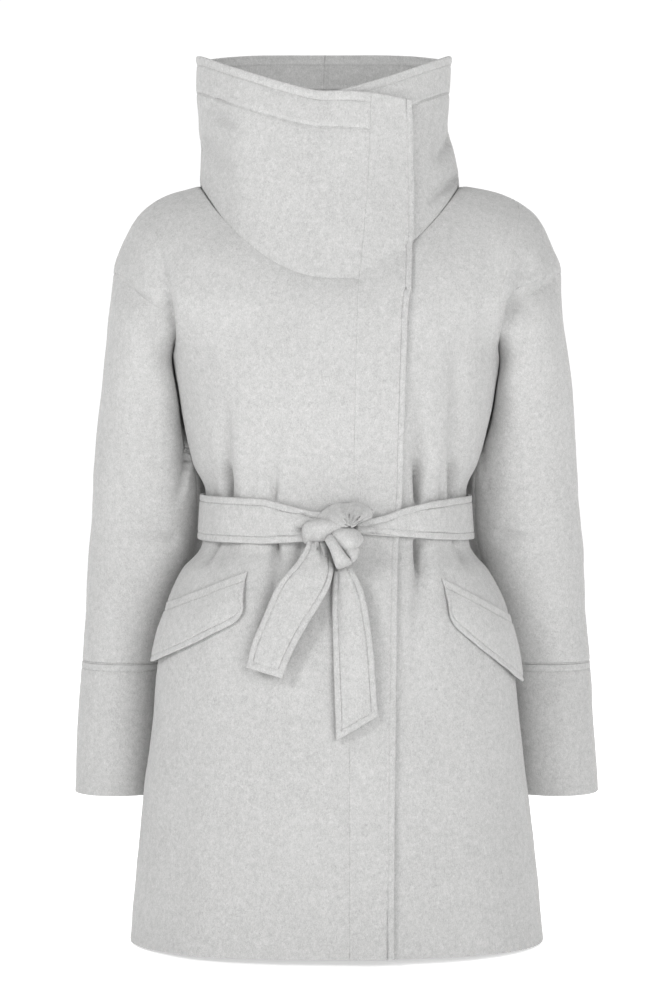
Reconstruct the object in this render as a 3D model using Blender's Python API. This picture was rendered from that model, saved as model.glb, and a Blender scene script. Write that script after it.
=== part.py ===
"""Wrap coat with a funnel collar, drop-shoulder sleeves and a tied belt, hollow and open as it is worn.

Every cloth piece is a closed wall cut from one of two lofted forms: the trunk, which runs from the hem
over the shoulders to the top of the collar, and the sleeve. Metres, +Z up, the front faces -Y, and the
origin lies midway between the points where the collar meets the shoulders.
"""

import math

import bmesh
import bpy
from mathutils import Vector

# ---------------------------------------------------------------- driving dimensions
WALL = 0.0025  # wool cloth, one layer
BELT_WALL = 0.0040  # the belt is cloth turned double
SEAM_GAP = 0.0003  # between two pieces that meet at a seam
LAYER_GAP = 0.0009  # between two layers that lie on each other
BELT_GAP = 0.0014  # under the belt, whose facets fall between the trunk's
LIFT = WALL + LAYER_GAP  # how far the over front stands outside the under front
FLAP_WALL = 0.0028
WELD = 0.00002  # points this close are one
SHARP_DEG = 50  # facets that meet at more than this keep a sharp edge
SEARCH_STEPS = 40  # halvings in a search along the rings
ARM_STEPS = 6  # rows along half of the armhole
NECK_SPLITS = 3  # extra rows of the front band beside the neck seam
BAND_COLUMNS = 3  # columns of facets across the front band and each side panel
SIDE_COLUMNS = 3
OVER_COLUMNS = 14  # columns of facets across the over front, the under front, the back and its half
UNDER_COLUMNS = 15
BACK_COLUMNS = 16
HALF_BACK_COLUMNS = 8

# The trunk's rings, from the hem up. A ring is a superellipse about centre_x: its sides are at side_z,
# its middle front at front_z and its middle back at back_z. edge_x is the free edge of the over front
# (the under front's is its mirror image), band_x the seam of the front band, princess the angle of the
# princess seam, which runs from 0 degrees at the front to 90 at the side.
RING_COLUMNS = (
    "centre_x", "half_width", "side_z", "front_z", "front_depth", "back_z", "back_depth",
    "squareness", "edge_x", "band_x", "princess",
)  # fmt: skip
RINGS = {
    "hem": (0.000, 0.2270, -0.824, -0.818, 0.150, -0.824, 0.144, 2.10, 0.0596, 0.0142, 77),
    "thigh": (0.000, 0.2156, -0.710, -0.710, 0.1445, -0.710, 0.1395, 2.10, 0.0604, 0.0137, 76),
    "cuff_seam": (0.000, 0.2020, -0.590, -0.590, 0.140, -0.590, 0.136, 2.10, 0.0615, 0.0142, 74),
    "hip": (0.000, 0.1960, -0.525, -0.525, 0.136, -0.525, 0.133, 2.12, 0.0625, 0.0150, 73),
    "flap_top": (0.000, 0.1880, -0.465, -0.465, 0.130, -0.465, 0.128, 2.15, 0.0632, 0.0160, 72),
    "below_belt": (0.000, 0.1700, -0.422, -0.422, 0.121, -0.422, 0.118, 2.15, 0.0640, 0.0168, 73),
    "belt_low": (0.000, 0.1470, -0.390, -0.390, 0.111, -0.390, 0.106, 2.15, 0.0650, 0.0174, 76),
    "belt_top": (0.000, 0.1435, -0.335, -0.335, 0.110, -0.335, 0.104, 2.15, 0.0690, 0.0184, 77),
    "waist": (0.000, 0.1575, -0.300, -0.300, 0.117, -0.300, 0.108, 2.20, 0.0700, 0.0188, 79),
    "bust": (0.000, 0.1690, -0.248, -0.252, 0.128, -0.250, 0.113, 2.35, 0.0712, 0.0195, 79),
    "ribs": (0.000, 0.1770, -0.205, -0.220, 0.130, -0.210, 0.116, 2.50, 0.0722, 0.0202, 73),
    "underarm": (0.000, 0.1810, -0.180, -0.200, 0.130, -0.180, 0.118, 2.50, 0.0730, 0.0206, 68),
    "arm_middle": (0.000, 0.2140, -0.137, -0.175, 0.128, -0.135, 0.119, 2.25, 0.0738, 0.0214, 53),
    "tip": (0.001, 0.2455, -0.094, -0.152, 0.126, -0.088, 0.119, 2.10, 0.0745, 0.0220, 44),
    "deltoid": (0.001, 0.2370, -0.066, -0.144, 0.125, -0.060, 0.117, 2.10, 0.0752, 0.0222, 49),
    "shoulder": (0.001, 0.2170, -0.0305, -0.132, 0.122, -0.030, 0.113, 2.10, 0.0762, 0.0226, 62),
    "yoke": (-0.002, 0.1830, -0.008, -0.121, 0.118, 0.002, 0.105, 2.10, 0.0774, 0.0232, 90),
    "neck": (-0.007, 0.1440, 0.003, -0.112, 0.114, 0.022, 0.095, 2.10, 0.0785, 0.0240, 90),
    "collar_low": (-0.009, 0.1395, 0.037, -0.062, 0.107, 0.055, 0.090, 2.15, 0.0805, 0.0285, 90),
    "collar_high": (-0.014, 0.1360, 0.070, -0.006, 0.100, 0.092, 0.087, 2.20, 0.0815, 0.0330, 90),
    "band_seam": (-0.014, 0.1385, 0.101, 0.049, 0.094, 0.124, 0.086, 2.25, 0.0795, 0.0350, 90),
    "rim": (-0.0126, 0.1395, 0.143, 0.0885, 0.088, 0.163, 0.084, 2.30, 0.0767, 0.0358, 90),
}
RING_NAMES = list(RINGS)
FRONT_BOW, BACK_BOW = 1.4, 3.5  # how the rim's front sinks and its back rises between the sides
RIM_DROP = 0.12  # how much further a collar's top falls past the middle front, towards its free edge
FREE_EDGE_DEG = 35.0
LIFT_DEG = (-50, -38)  # the over front rises off the form between these angles
ARMHOLE_DEG = 33.0  # how far the armhole's edge lies from the side, at its middle
PEAK_DROP = 0.0012  # how far a side panel's point stops below the shoulder seam

# The trunk's main folds: troughs pressed in by the belt, deepest at deep_z and fading to fade_z.
# Columns: angle, deep_z, fade_z, half_width_deg, depth.
FOLDS = (
    (-54, -0.335, -0.235, 9, 0.0065),
    (-24, -0.335, -0.275, 8, 0.0030),
    (36, -0.335, -0.240, 9, 0.0070),
    (62, -0.335, -0.250, 9, 0.0065),
    (-60, -0.390, -0.455, 8, 0.0050),
    (-30, -0.390, -0.520, 9, 0.0045),
    (36, -0.390, -0.560, 9, 0.0065),
    (120, -0.335, -0.240, 14, 0.0055),
    (160, -0.335, -0.270, 14, 0.0040),
    (-140, -0.335, -0.250, 14, 0.0055),
    (130, -0.390, -0.500, 14, 0.0055),
    (-160, -0.390, -0.560, 14, 0.0060),
    (-120, -0.390, -0.470, 14, 0.0045),
)
FOLD_RISE = 0.018  # length over which a fold reaches its full depth above or below the belt
FOLD_BEHIND = 0.3  # how far a fold goes on behind the belt, as a share of its length

# The sleeve's rings below the armhole, for the +X sleeve: its outer and inner side, the middle of its
# depth and half its depth. Columns: outer_x, outer_z, inner_x, inner_z, centre_y, half_depth.
SLEEVE_RINGS = (
    (0.2475, -0.126, 0.1720, -0.198, 0.000, 0.072),
    (0.2535, -0.172, 0.1660, -0.222, 0.006, 0.070),
    (0.2620, -0.228, 0.1600, -0.262, 0.022, 0.066),
    (0.2686, -0.300, 0.1520, -0.315, 0.042, 0.063),
    (0.2770, -0.385, 0.1540, -0.388, 0.062, 0.061),
    (0.2840, -0.465, 0.1740, -0.467, 0.078, 0.058),
    (0.2880, -0.526, 0.1860, -0.527, 0.082, 0.056),
)
CUFF_RINGS = (
    (0.2885, -0.5265, 0.1855, -0.5275, 0.082, 0.0566),
    (0.2925, -0.600, 0.1900, -0.601, 0.080, 0.0560),
    (0.2970, -0.672, 0.1950, -0.672, 0.076, 0.0550),
)
SLEEVE_CLEAR = 0.0020  # how far a sleeve keeps from the trunk
ARMHOLE_DROP = Vector((0.0007, 0.0, -0.0010))  # from the armhole's edge to the sleeve's first ring
TOP_SLEEVE_FROM = -90.0  # the top sleeve covers the outer side and the front, up to these angles
TOP_SLEEVE_TO = 150.0

# Pocket flaps: angle and height of each corner. The inner edge is the one near the middle front.
FLAP_COLUMNS = ("inner_top_deg", "inner_low_deg", "outer_top_deg", "outer_low_deg",
                "inner_top_z", "inner_low_z", "outer_top_z", "outer_low_z")  # fmt: skip
FLAPS = {
    "right": (-31.5, -29.5, -76.0, -86.0, -0.430, -0.469, -0.464, -0.521),
    "left": (38.5, 37.5, 79.0, 90.0, -0.436, -0.473, -0.478, -0.543),
}
WELT_HEIGHT = 0.007
POCKET_STEPS = 8
FLAP_ROWS = 3
FLAP_SWING = 0.004  # how far a flap's free outer corner swings off the cloth

# The belt round the waist. Columns: angle, top_z, low_z.
BELT = (
    (8, -0.3570, -0.3790),
    (28, -0.3470, -0.3830),
    (42, -0.3430, -0.3860),
    (60, -0.3400, -0.3875),
    (90, -0.3365, -0.3865),
    (180, -0.3330, -0.3830),
    (270, -0.3355, -0.3855),
    (300, -0.3385, -0.3890),
    (330, -0.3415, -0.3910),
    (350, -0.3545, -0.3880),
    (358, -0.3560, -0.3870),
)
BELT_STEPS = 44
BELT_OVER_DEG = (-64, -50, 44, 58)  # the belt climbs onto the over front and comes down again
KNOT_SWELL = 0.004  # how much further it stands off beside the knot
KNOT_SWELL_DEG = (10, 30)

# The knot's rings from its top down. Columns: x, z, half_width, back_y, front_y.
KNOT = (
    (0.012, -0.3440, 0.020, -0.1235, -0.1290),
    (0.011, -0.3540, 0.027, -0.1222, -0.1360),
    (0.010, -0.3660, 0.027, -0.1218, -0.1440),
    (0.010, -0.3780, 0.024, -0.1235, -0.1510),
    (0.010, -0.3900, 0.022, -0.1290, -0.1540),
    (0.009, -0.4020, 0.021, -0.1310, -0.1540),
    (0.008, -0.4120, 0.016, -0.1330, -0.1500),
)
KNOT_SIDES = 14

# The belt's two free ends: each row has the strip's two edges and how far it hangs off the cloth below.
# Columns: left_x, left_z, right_x, right_z, stand_off.
TAIL_SHORT = (
    (-0.0325, -0.3880, -0.0118, -0.3950, 0.0160),
    (-0.0425, -0.4085, -0.0092, -0.4140, 0.0170),
    (-0.0620, -0.4320, -0.0123, -0.4438, 0.0155),
    (-0.0765, -0.4655, -0.0320, -0.4765, 0.0135),
    (-0.0875, -0.4910, -0.0464, -0.5040, 0.0120),
    (-0.0940, -0.5170, -0.0557, -0.5275, 0.0105),
)
TAIL_LONG = (
    (-0.0020, -0.4135, 0.0172, -0.4125, 0.0130),
    (-0.0050, -0.4390, 0.0290, -0.4380, 0.0125),
    (-0.0042, -0.4730, 0.0358, -0.4730, 0.0095),
    (-0.0030, -0.5090, 0.0400, -0.5090, 0.0065),
    (-0.0015, -0.5500, 0.0425, -0.5460, 0.0040),
    (0.0000, -0.5920, 0.0440, -0.5670, 0.0025),
)
TAIL_STRIPS = 3

WOOL_GREY = (0.60, 0.60, 0.59, 1.0)
WOOL_ROUGHNESS = 0.95


# ---------------------------------------------------------------- the trunk's form
def table_slopes(values):
    """Slopes at each entry of a list that keep a cubic through it from overshooting."""
    steps = [b - a for a, b in zip(values, values[1:])]
    slopes = [steps[0]]
    for before, after in zip(steps, steps[1:]):
        same_way = before * after > 0
        slopes.append(2 * before * after / (before + after) if same_way else 0.0)
    slopes.append(steps[-1])
    return slopes


def cubic(values, slopes, t):
    """The value at position t along a list, through a Hermite cubic between its entries."""
    i = max(0, min(int(t), len(values) - 2))
    f = t - i
    rise = f * f * (3 - 2 * f)
    ease_in = f * (1 - f) ** 2
    ease_out = f * f * (f - 1)
    return values[i] * (1 - rise) + values[i + 1] * rise + slopes[i] * ease_in + slopes[i + 1] * ease_out


NECK = RING_NAMES.index("neck")
RIM = RING_NAMES.index("rim")
UNDERARM = RING_NAMES.index("underarm")
TIP = RING_NAMES.index("tip")
YOKE = RING_NAMES.index("yoke")
BAND_SEAM = RING_NAMES.index("band_seam")
LEVEL_FROM = UNDERARM - 3  # above this ring the over front's rows run on level


def ring_tracks():
    """For each column of RINGS, its values and slopes below and above the neck seam, where it bends."""
    tracks = {}
    for i, column in enumerate(RING_COLUMNS):
        values = [row[i] for row in RINGS.values()]
        below = values[: NECK + 1]
        above = values[NECK:]
        tracks[column] = (below, table_slopes(below), above, table_slopes(above))
    return tracks


TRACKS = ring_tracks()


def ring_value(column, t):
    below, below_slopes, above, above_slopes = TRACKS[column]
    if t <= NECK:
        return cubic(below, below_slopes, t)
    return cubic(above, above_slopes, t - NECK)


def ring_at_height(z):
    """The ring position whose side lies at height z, below the underarm."""
    low, high = 0.0, float(UNDERARM)
    for _ in range(SEARCH_STEPS):
        middle = (low + high) / 2
        if ring_value("side_z", middle) < z:
            low = middle
        else:
            high = middle
    return (low + high) / 2


def between(start, end, share):
    return start * (1 - share) + end * share


def smooth_step(value, start, end):
    f = max(0.0, min(1.0, (value - start) / (end - start)))
    return f * f * (3 - 2 * f)


def fold_depth(angle, z):
    """How far the belt's folds press the trunk's cloth in at this angle and height."""
    depth = 0.0
    for fold_angle, deep_z, fade_z, half_width, fold in FOLDS:
        apart = (angle - fold_angle + 180) % 360 - 180
        along = (z - deep_z) / (fade_z - deep_z)
        if abs(apart) >= half_width or along >= 1 or along < -FOLD_BEHIND:
            continue
        across = math.cos(math.pi / 2 * apart / half_width) ** 2
        run = math.cos(math.pi / 2 * max(0.0, along)) ** 2
        start = smooth_step(abs(z - deep_z), 0.0, FOLD_RISE) if along > 0 else 0.0
        depth = max(depth, fold * across * run * start)
    return depth


def level_share(sine, t, front):
    """How far a ring has gone from its side's height towards that of its middle front or back."""
    rim_bow = FRONT_BOW if front else BACK_BOW
    return 1 - abs(sine) ** between(2.0, rim_bow, smooth_step(t, NECK, RIM))


def ring_point(angle, t):
    """A point of the trunk's ring t; angle 0 is the middle front and 90 the +X side."""
    sine, cosine = math.sin(math.radians(angle)), math.cos(math.radians(angle))
    power = ring_value("squareness", t)
    reach = (abs(sine) ** power + abs(cosine) ** power) ** (-1 / power)
    front = cosine >= 0
    depth = ring_value("front_depth" if front else "back_depth", t)
    side_z = ring_value("side_z", t)
    middle_z = ring_value("front_z" if front else "back_z", t)
    x = ring_value("centre_x", t) + ring_value("half_width", t) * sine * reach
    z = side_z + (middle_z - side_z) * level_share(sine, t, front)
    return Vector((x, -depth * cosine * reach, z))


def run_level(angle, t):
    """Where a row of the over front lies past the middle front.

    Its rows run on level there, or fall a little, instead of rising again towards the far shoulder. The
    return is the angle and ring position on the same form with the row's x and that height.
    """
    if not 0 < angle < 90 or t <= LEVEL_FROM:
        return angle, t
    x = ring_point(angle, t).x
    side_z, front_z = ring_value("side_z", t), ring_value("front_z", t)
    level = front_z - RIM_DROP * max(0.0, side_z - front_z) * (angle / FREE_EDGE_DEG) ** 2
    low, high = LEVEL_FROM - 1.0, float(t)
    for _ in range(SEARCH_STEPS):
        middle = (low + high) / 2
        if ring_point(angle_of_x(x, middle), middle).z < level:
            low = middle
        else:
            high = middle
    return angle_of_x(x, low), low


def lift_at(angle):
    """How far the over front stands off the ring, so that the under front fits behind it."""
    return LIFT * smooth_step(angle, *LIFT_DEG)


def trunk(angle, t, layer=0, out=0.0):
    """A point of the trunk's outer face, moved out by out, and the way out there.

    layer is 1 on the over front's pieces, -1 on the under front's and 0 elsewhere.
    """
    if layer == 1:
        angle, t = run_level(angle, t)
    here = ring_point(angle, t)
    step_a, step_t = 0.5, 0.05
    around = ring_point(angle + step_a, t) - ring_point(angle - step_a, t)
    low_t = max(t - step_t, NECK if t > NECK else 0)
    high_t = min(t + step_t, NECK if t < NECK else RIM)
    up = ring_point(angle, high_t) - ring_point(angle, low_t)
    normal = around.cross(up).normalized()
    lift = lift_at(angle) if layer == 1 else 0.0
    return here + normal * (out + lift - fold_depth(angle, here.z)), normal


def angle_of_x(x, t):
    """The angle at which ring t crosses x on its front."""
    power = ring_value("squareness", t)
    share = (x - ring_value("centre_x", t)) / ring_value("half_width", t)
    return math.degrees(math.atan2(share, (1 - abs(share) ** power) ** (1 / power)))


def armhole_deg(t):
    """How far the armhole's edge lies from the side, between the underarm and the shoulder's tip."""
    across = 2 * (t - UNDERARM) / (TIP - UNDERARM) - 1
    return ARMHOLE_DEG * math.sqrt(max(0.0, 1 - across * across))


def side_edge(t):
    """The angle of the side seam, the armhole's front edge or the shoulder seam."""
    return 90.0 - armhole_deg(t)


def princess_edge(t):
    return min(ring_value("princess", t), 90.0)


ARM_ROWS = [
    UNDERARM + (TIP - UNDERARM) * (1 - math.cos(math.pi * k / ARM_STEPS)) / 2 for k in range(ARM_STEPS + 1)
]
SHOULDER_ROWS = [TIP + 1.0, TIP + 2.0, TIP + 2.5, YOKE * 1.0, NECK * 1.0]
TRUNK_ROWS = [float(t) for t in range(UNDERARM)] + ARM_ROWS + SHOULDER_ROWS
COLLAR_ROWS = [float(t) for t in range(NECK, BAND_SEAM + 1)]
BAND_ROWS = [float(BAND_SEAM), float(RIM)]


# ---------------------------------------------------------------- making solids
def new_object(name, bm):
    """Finish a bmesh as a smooth-shaded object with its own wool material."""
    bmesh.ops.remove_doubles(bm, verts=bm.verts, dist=WELD)
    bmesh.ops.recalc_face_normals(bm, faces=bm.faces)
    bmesh.ops.triangulate(bm, faces=bm.faces)
    mesh = bpy.data.meshes.new(name)
    bm.to_mesh(mesh)
    bm.free()
    material = bpy.data.materials.new("wool_" + name)
    material.use_nodes = True
    shader = material.node_tree.nodes["Principled BSDF"]
    shader.inputs["Base Color"].default_value = WOOL_GREY
    shader.inputs["Roughness"].default_value = WOOL_ROUGHNESS
    shader.inputs["Metallic"].default_value = 0.0
    mesh.materials.append(material)
    mesh.shade_smooth()
    mesh.set_sharp_from_angle(angle=math.radians(SHARP_DEG))
    thing = bpy.data.objects.new(name, mesh)
    bpy.context.scene.collection.objects.link(thing)
    return thing


def pull_in(grid, amount, closed=False):
    """Move a grid's outer rows and columns inwards by amount, which leaves the gap at its seams."""
    rows, columns = len(grid), len(grid[0])
    for column in range(columns):
        for edge, beside in ((0, 1), (rows - 1, rows - 2)):
            way = grid[beside][column][0] - grid[edge][column][0]
            point, normal = grid[edge][column]
            grid[edge][column] = (point + way.normalized() * amount, normal)
    if closed:
        return grid
    for row in range(rows):
        for edge, beside in ((0, 1), (columns - 1, columns - 2)):
            way = grid[row][beside][0] - grid[row][edge][0]
            if way.length > amount:
                point, normal = grid[row][edge]
                grid[row][edge] = (point + way.normalized() * amount, normal)
    return grid


def wall_from_grid(name, grid, wall, closed=False):
    """A closed wall: grid holds rows of (outer point, way out); closed joins each row's ends to a ring."""
    bm = bmesh.new()
    rows, columns = len(grid), len(grid[0])
    outer = [[bm.verts.new(point) for point, normal in row] for row in grid]
    inner = [[bm.verts.new(point - normal * wall) for point, normal in row] for row in grid]
    last = columns if closed else columns - 1
    for i in range(rows - 1):
        for j in range(last):
            k = (j + 1) % columns
            bm.faces.new((outer[i][j], outer[i][k], outer[i + 1][k], outer[i + 1][j]))
            bm.faces.new((inner[i][j], inner[i + 1][j], inner[i + 1][k], inner[i][k]))
    for j in range(last):
        k = (j + 1) % columns
        bm.faces.new((outer[0][j], inner[0][j], inner[0][k], outer[0][k]))
        bm.faces.new((outer[-1][j], outer[-1][k], inner[-1][k], inner[-1][j]))
    if not closed:
        for i in range(rows - 1):
            bm.faces.new((outer[i][0], outer[i + 1][0], inner[i + 1][0], inner[i][0]))
            bm.faces.new((outer[i][-1], inner[i][-1], inner[i + 1][-1], outer[i + 1][-1]))
    return new_object(name, bm)


def trunk_grid(rows, spans, layer=0):
    """Rows of trunk points. Each span is a number of columns between two edges, given as functions of
    the ring that return an angle; the spans follow each other."""
    grid = []
    for t in rows:
        angles = [spans[0][0](t)]
        for start, end, columns in spans:
            first, last = start(t), end(t)
            angles += [first + (last - first) * (j + 1) / columns for j in range(columns)]
        grid.append([trunk(angle, t, layer) for angle in angles])
    return grid


def steady(angle):
    """An edge that stays at one angle."""
    return lambda t: angle


# ---------------------------------------------------------------- the trunk's pieces
def over_edge(t):
    return angle_of_x(ring_value("edge_x", t), t)


def band_edge(t):
    return angle_of_x(ring_value("band_x", t), t)


def under_edge(t):
    return angle_of_x(-ring_value("edge_x", t), t)


def make_fronts():
    neck_rows = [NECK - 1 + k / NECK_SPLITS for k in range(1, 2 * NECK_SPLITS + 1)]
    full_height = TRUNK_ROWS[:-1] + neck_rows + COLLAR_ROWS[2:] + BAND_ROWS[1:]
    fronts = (
        ("front_right", TRUNK_ROWS, (lambda t: -princess_edge(t), band_edge, OVER_COLUMNS), 1),
        ("front_band", full_height, (band_edge, over_edge, BAND_COLUMNS), 1),
        ("front_left", TRUNK_ROWS, (under_edge, princess_edge, UNDER_COLUMNS), -1),
    )
    for name, rows, span, layer in fronts:
        grid = trunk_grid(rows, [span], layer)
        wall_from_grid(name, pull_in(grid, SEAM_GAP / 2), WALL)


def make_sides():
    """Each side panel narrows to nothing where the princess seam reaches the shoulder seam."""
    rows = [t for t in TRUNK_ROWS if t <= YOKE]
    for name, sign in (("side_right", -1), ("side_left", 1)):
        span = (lambda t: sign * princess_edge(t), lambda t: sign * side_edge(t), SIDE_COLUMNS)
        grid = trunk_grid(rows, [span])
        peak, below = grid[-1], grid[-2]
        middle = sum((point for point, normal in below), Vector()) / len(below)
        down = (middle - peak[0][0]).normalized()
        grid[-1] = [(peak[0][0] + down * PEAK_DROP, peak[0][1])] * len(peak)
        wall_from_grid(name, pull_in(grid, SEAM_GAP / 2), WALL)


def make_back():
    span = (lambda t: 90 + armhole_deg(t), lambda t: 270 - armhole_deg(t), BACK_COLUMNS)
    grid = trunk_grid(TRUNK_ROWS, [span])
    wall_from_grid("back", pull_in(grid, SEAM_GAP / 2), WALL)


def make_collar():
    """Two halves of collar and of its top band, seamed at the centre back."""
    right_spans = (
        (steady(-180), steady(-90), HALF_BACK_COLUMNS),
        (steady(-90), band_edge, OVER_COLUMNS),
    )
    left_spans = (
        (under_edge, steady(90), UNDER_COLUMNS),
        (steady(90), steady(180), HALF_BACK_COLUMNS),
    )
    for part, rows in (("collar", COLLAR_ROWS), ("collar_band", BAND_ROWS)):
        right = trunk_grid(rows, right_spans, 1)
        wall_from_grid(part + "_right", pull_in(right, SEAM_GAP / 2), WALL)
        left = trunk_grid(rows, left_spans, -1)
        wall_from_grid(part + "_left", pull_in(left, SEAM_GAP / 2), WALL)


# ---------------------------------------------------------------- sleeves
def clear_of_trunk(point):
    """Push a sleeve's point out sideways until it stands SLEEVE_CLEAR off the trunk."""
    if point.z > ring_value("side_z", UNDERARM):
        return point
    t = ring_at_height(point.z)
    power = ring_value("squareness", t)
    depth = ring_value("back_depth" if point.y > 0 else "front_depth", t) + SLEEVE_CLEAR
    share = min(1.0, abs(point.y) / depth)
    reach = (ring_value("half_width", t) + SLEEVE_CLEAR) * (1 - share**power) ** (1 / power)
    return Vector((max(point.x, reach), point.y, point.z))


def sleeve_ring(row, angles):
    """Points round a sleeve: 0 degrees is its outer side, 90 its front, 180 its inner side."""
    outer_x, outer_z, inner_x, inner_z, centre_y, half_depth = row
    middle = Vector(((outer_x + inner_x) / 2, centre_y, (outer_z + inner_z) / 2))
    half = Vector(((outer_x - inner_x) / 2, 0, (outer_z - inner_z) / 2))
    ring = []
    for angle in angles:
        along, across = math.cos(math.radians(angle)), math.sin(math.radians(angle))
        point = clear_of_trunk(middle + half * along + Vector((0, -half_depth * across, 0)))
        normal = Vector((along, -across, 0.0))
        ring.append((point, normal.normalized()))
    return ring


def armhole_ring(angles):
    """The sleeve's first ring, on the trunk's armhole edge, just below it."""
    ring = []
    for angle in angles:
        along = math.cos(math.radians(angle))
        t = UNDERARM + (TIP - UNDERARM) * (1 + along) / 2
        front = math.sin(math.radians(angle)) > 0
        edge = side_edge(t) if front else 90 + armhole_deg(t)
        point, normal = trunk(edge, t)
        away = Vector((along, -math.sin(math.radians(angle)), 0.0))
        ring.append((point + ARMHOLE_DROP, away.normalized()))
    return ring


def mirrored(grid, sign):
    if sign > 0:
        return grid
    flip = Vector((-1, 1, 1))
    return [[(point * flip, normal * flip) for point, normal in row] for row in grid]


def make_sleeves():
    step = 180 / ARM_STEPS
    top = [TOP_SLEEVE_FROM + step * k for k in range(round((TOP_SLEEVE_TO - TOP_SLEEVE_FROM) / step) + 1)]
    under = [TOP_SLEEVE_TO + step * k for k in range(round((270 - TOP_SLEEVE_TO) / step) + 1)]
    around = [step * k for k in range(2 * ARM_STEPS)]
    for side, sign in (("right", -1), ("left", 1)):
        for part, angles in (("sleeve_top_", top), ("sleeve_under_", under)):
            grid = [armhole_ring(angles)] + [sleeve_ring(row, angles) for row in SLEEVE_RINGS]
            wall_from_grid(part + side, mirrored(pull_in(grid, SEAM_GAP / 2), sign), WALL)
        cuff = [sleeve_ring(row, around) for row in CUFF_RINGS]
        wall_from_grid("cuff_" + side, mirrored(cuff, sign), WALL, closed=True)


# ---------------------------------------------------------------- pockets
def flap_point(corner, across, down):
    """The angle and height of a point of a flap, whose edges are straight lines as seen from the front."""
    top = between(*(math.sin(math.radians(corner[end + "_top_deg"])) for end in ("inner", "outer")), across)
    low = between(*(math.sin(math.radians(corner[end + "_low_deg"])) for end in ("inner", "outer")), across)
    top_z = between(corner["inner_top_z"], corner["outer_top_z"], across)
    low_z = between(corner["inner_low_z"], corner["outer_low_z"], across)
    return math.degrees(math.asin(between(top, low, down))), between(top_z, low_z, down)


def make_pockets():
    """A flap lies on the front and the side panel; the welt lies just above its upper edge."""
    shares = [math.sin(math.pi / 2 * j / POCKET_STEPS) for j in range(POCKET_STEPS + 1)]
    for side, row in FLAPS.items():
        corner = dict(zip(FLAP_COLUMNS, row))
        layer = 1 if side == "right" else -1
        flap = []
        for i in range(FLAP_ROWS + 1):
            line = []
            for across in shares:
                angle, z = flap_point(corner, across, i / FLAP_ROWS)
                swing = FLAP_SWING * across * across * i / FLAP_ROWS
                line.append(pocket_point(angle, z, layer, FLAP_WALL + swing))
            flap.append(line)
        wall_from_grid("pocket_flap_" + side, flap, FLAP_WALL)
        welt = []
        for rise in (LAYER_GAP, LAYER_GAP + WELT_HEIGHT):
            spots = [flap_point(corner, across, 0) for across in shares]
            welt.append([pocket_point(angle, z + rise, layer, WALL) for angle, z in spots])
        wall_from_grid("pocket_welt_" + side, welt, WALL)


def pocket_point(angle, z, layer, wall):
    """A point that lies on the trunk at a height, with room for a piece of this wall under it."""
    point, normal = trunk(angle, ring_at_height(z), layer, LAYER_GAP + wall)
    return point, normal


# ---------------------------------------------------------------- belt
def belt_edge(angle):
    """Upper and lower height of the belt at an angle, straight between the rows of its table."""
    for before, after in zip(BELT, BELT[1:]):
        if before[0] <= angle <= after[0]:
            f = (angle - before[0]) / (after[0] - before[0])
            return between(before[1], after[1], f), between(before[2], after[2], f)
    raise ValueError(angle)


def belt_stand_off(angle):
    """The belt rides over the over front and swells towards the knot."""
    turn = (angle + 180) % 360 - 180
    climb_from, climb_to, fall_from, fall_to = BELT_OVER_DEG
    over = LIFT * smooth_step(turn, climb_from, climb_to) * (1 - smooth_step(turn, fall_from, fall_to))
    knot = KNOT_SWELL * (1 - smooth_step(abs(turn), *KNOT_SWELL_DEG))
    return over + knot + BELT_GAP + BELT_WALL


def make_belt_waist():
    grid = [[], [], []]
    for j in range(BELT_STEPS + 1):
        angle = BELT[0][0] + (BELT[-1][0] - BELT[0][0]) * j / BELT_STEPS
        top_z, low_z = belt_edge(angle)
        for row, z in zip(grid, (low_z, (low_z + top_z) / 2, top_z)):
            row.append(trunk(angle, ring_at_height(z), 0, belt_stand_off(angle)))
    wall_from_grid("belt_waist", grid, BELT_WALL)


def make_knot():
    """One rounded solid for the layers wound in the knot."""
    bm = bmesh.new()
    rings = []
    for x, z, half_width, back_y, front_y in KNOT:
        ring = []
        for k in range(KNOT_SIDES):
            turn = 2 * math.pi * k / KNOT_SIDES
            y = (back_y + front_y) / 2 - (back_y - front_y) / 2 * math.cos(turn)
            ring.append(bm.verts.new((x + half_width * math.sin(turn), y, z)))
        rings.append(ring)
    for upper, lower in zip(rings, rings[1:]):
        for k in range(KNOT_SIDES):
            m = (k + 1) % KNOT_SIDES
            bm.faces.new((upper[k], upper[m], lower[m], lower[k]))
    bm.faces.new(rings[0])
    bm.faces.new(reversed(rings[-1]))
    return new_object("belt_knot", bm)


def front_point(x, z, stand_off):
    """A point in front of the trunk at x and z, standing off its over front."""
    t = ring_at_height(z)
    point, normal = trunk(angle_of_x(x, t), t, 1, LAYER_GAP + BELT_WALL + stand_off)
    return Vector((x, point.y, z)), normal


def make_tails():
    for name, rows in (("belt_tail_short", TAIL_SHORT), ("belt_tail_long", TAIL_LONG)):
        grid = []
        for left_x, left_z, right_x, right_z, stand_off in rows:
            shares = [j / TAIL_STRIPS for j in range(TAIL_STRIPS + 1)]
            spots = [(between(left_x, right_x, f), between(left_z, right_z, f)) for f in shares]
            grid.append([front_point(x, z, stand_off) for x, z in spots])
        wall_from_grid(name, grid, BELT_WALL)


# ---------------------------------------------------------------- build
for old in list(bpy.data.objects):
    bpy.data.objects.remove(old, do_unlink=True)
make_fronts()
make_sides()
make_back()
make_collar()
make_sleeves()
make_pockets()
make_belt_waist()
make_knot()
make_tails()
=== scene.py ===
"""Wool wrap coat: fine cloth shells on the CAD frame's form, with their seams, stitches, folds and nap."""

import math

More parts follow.
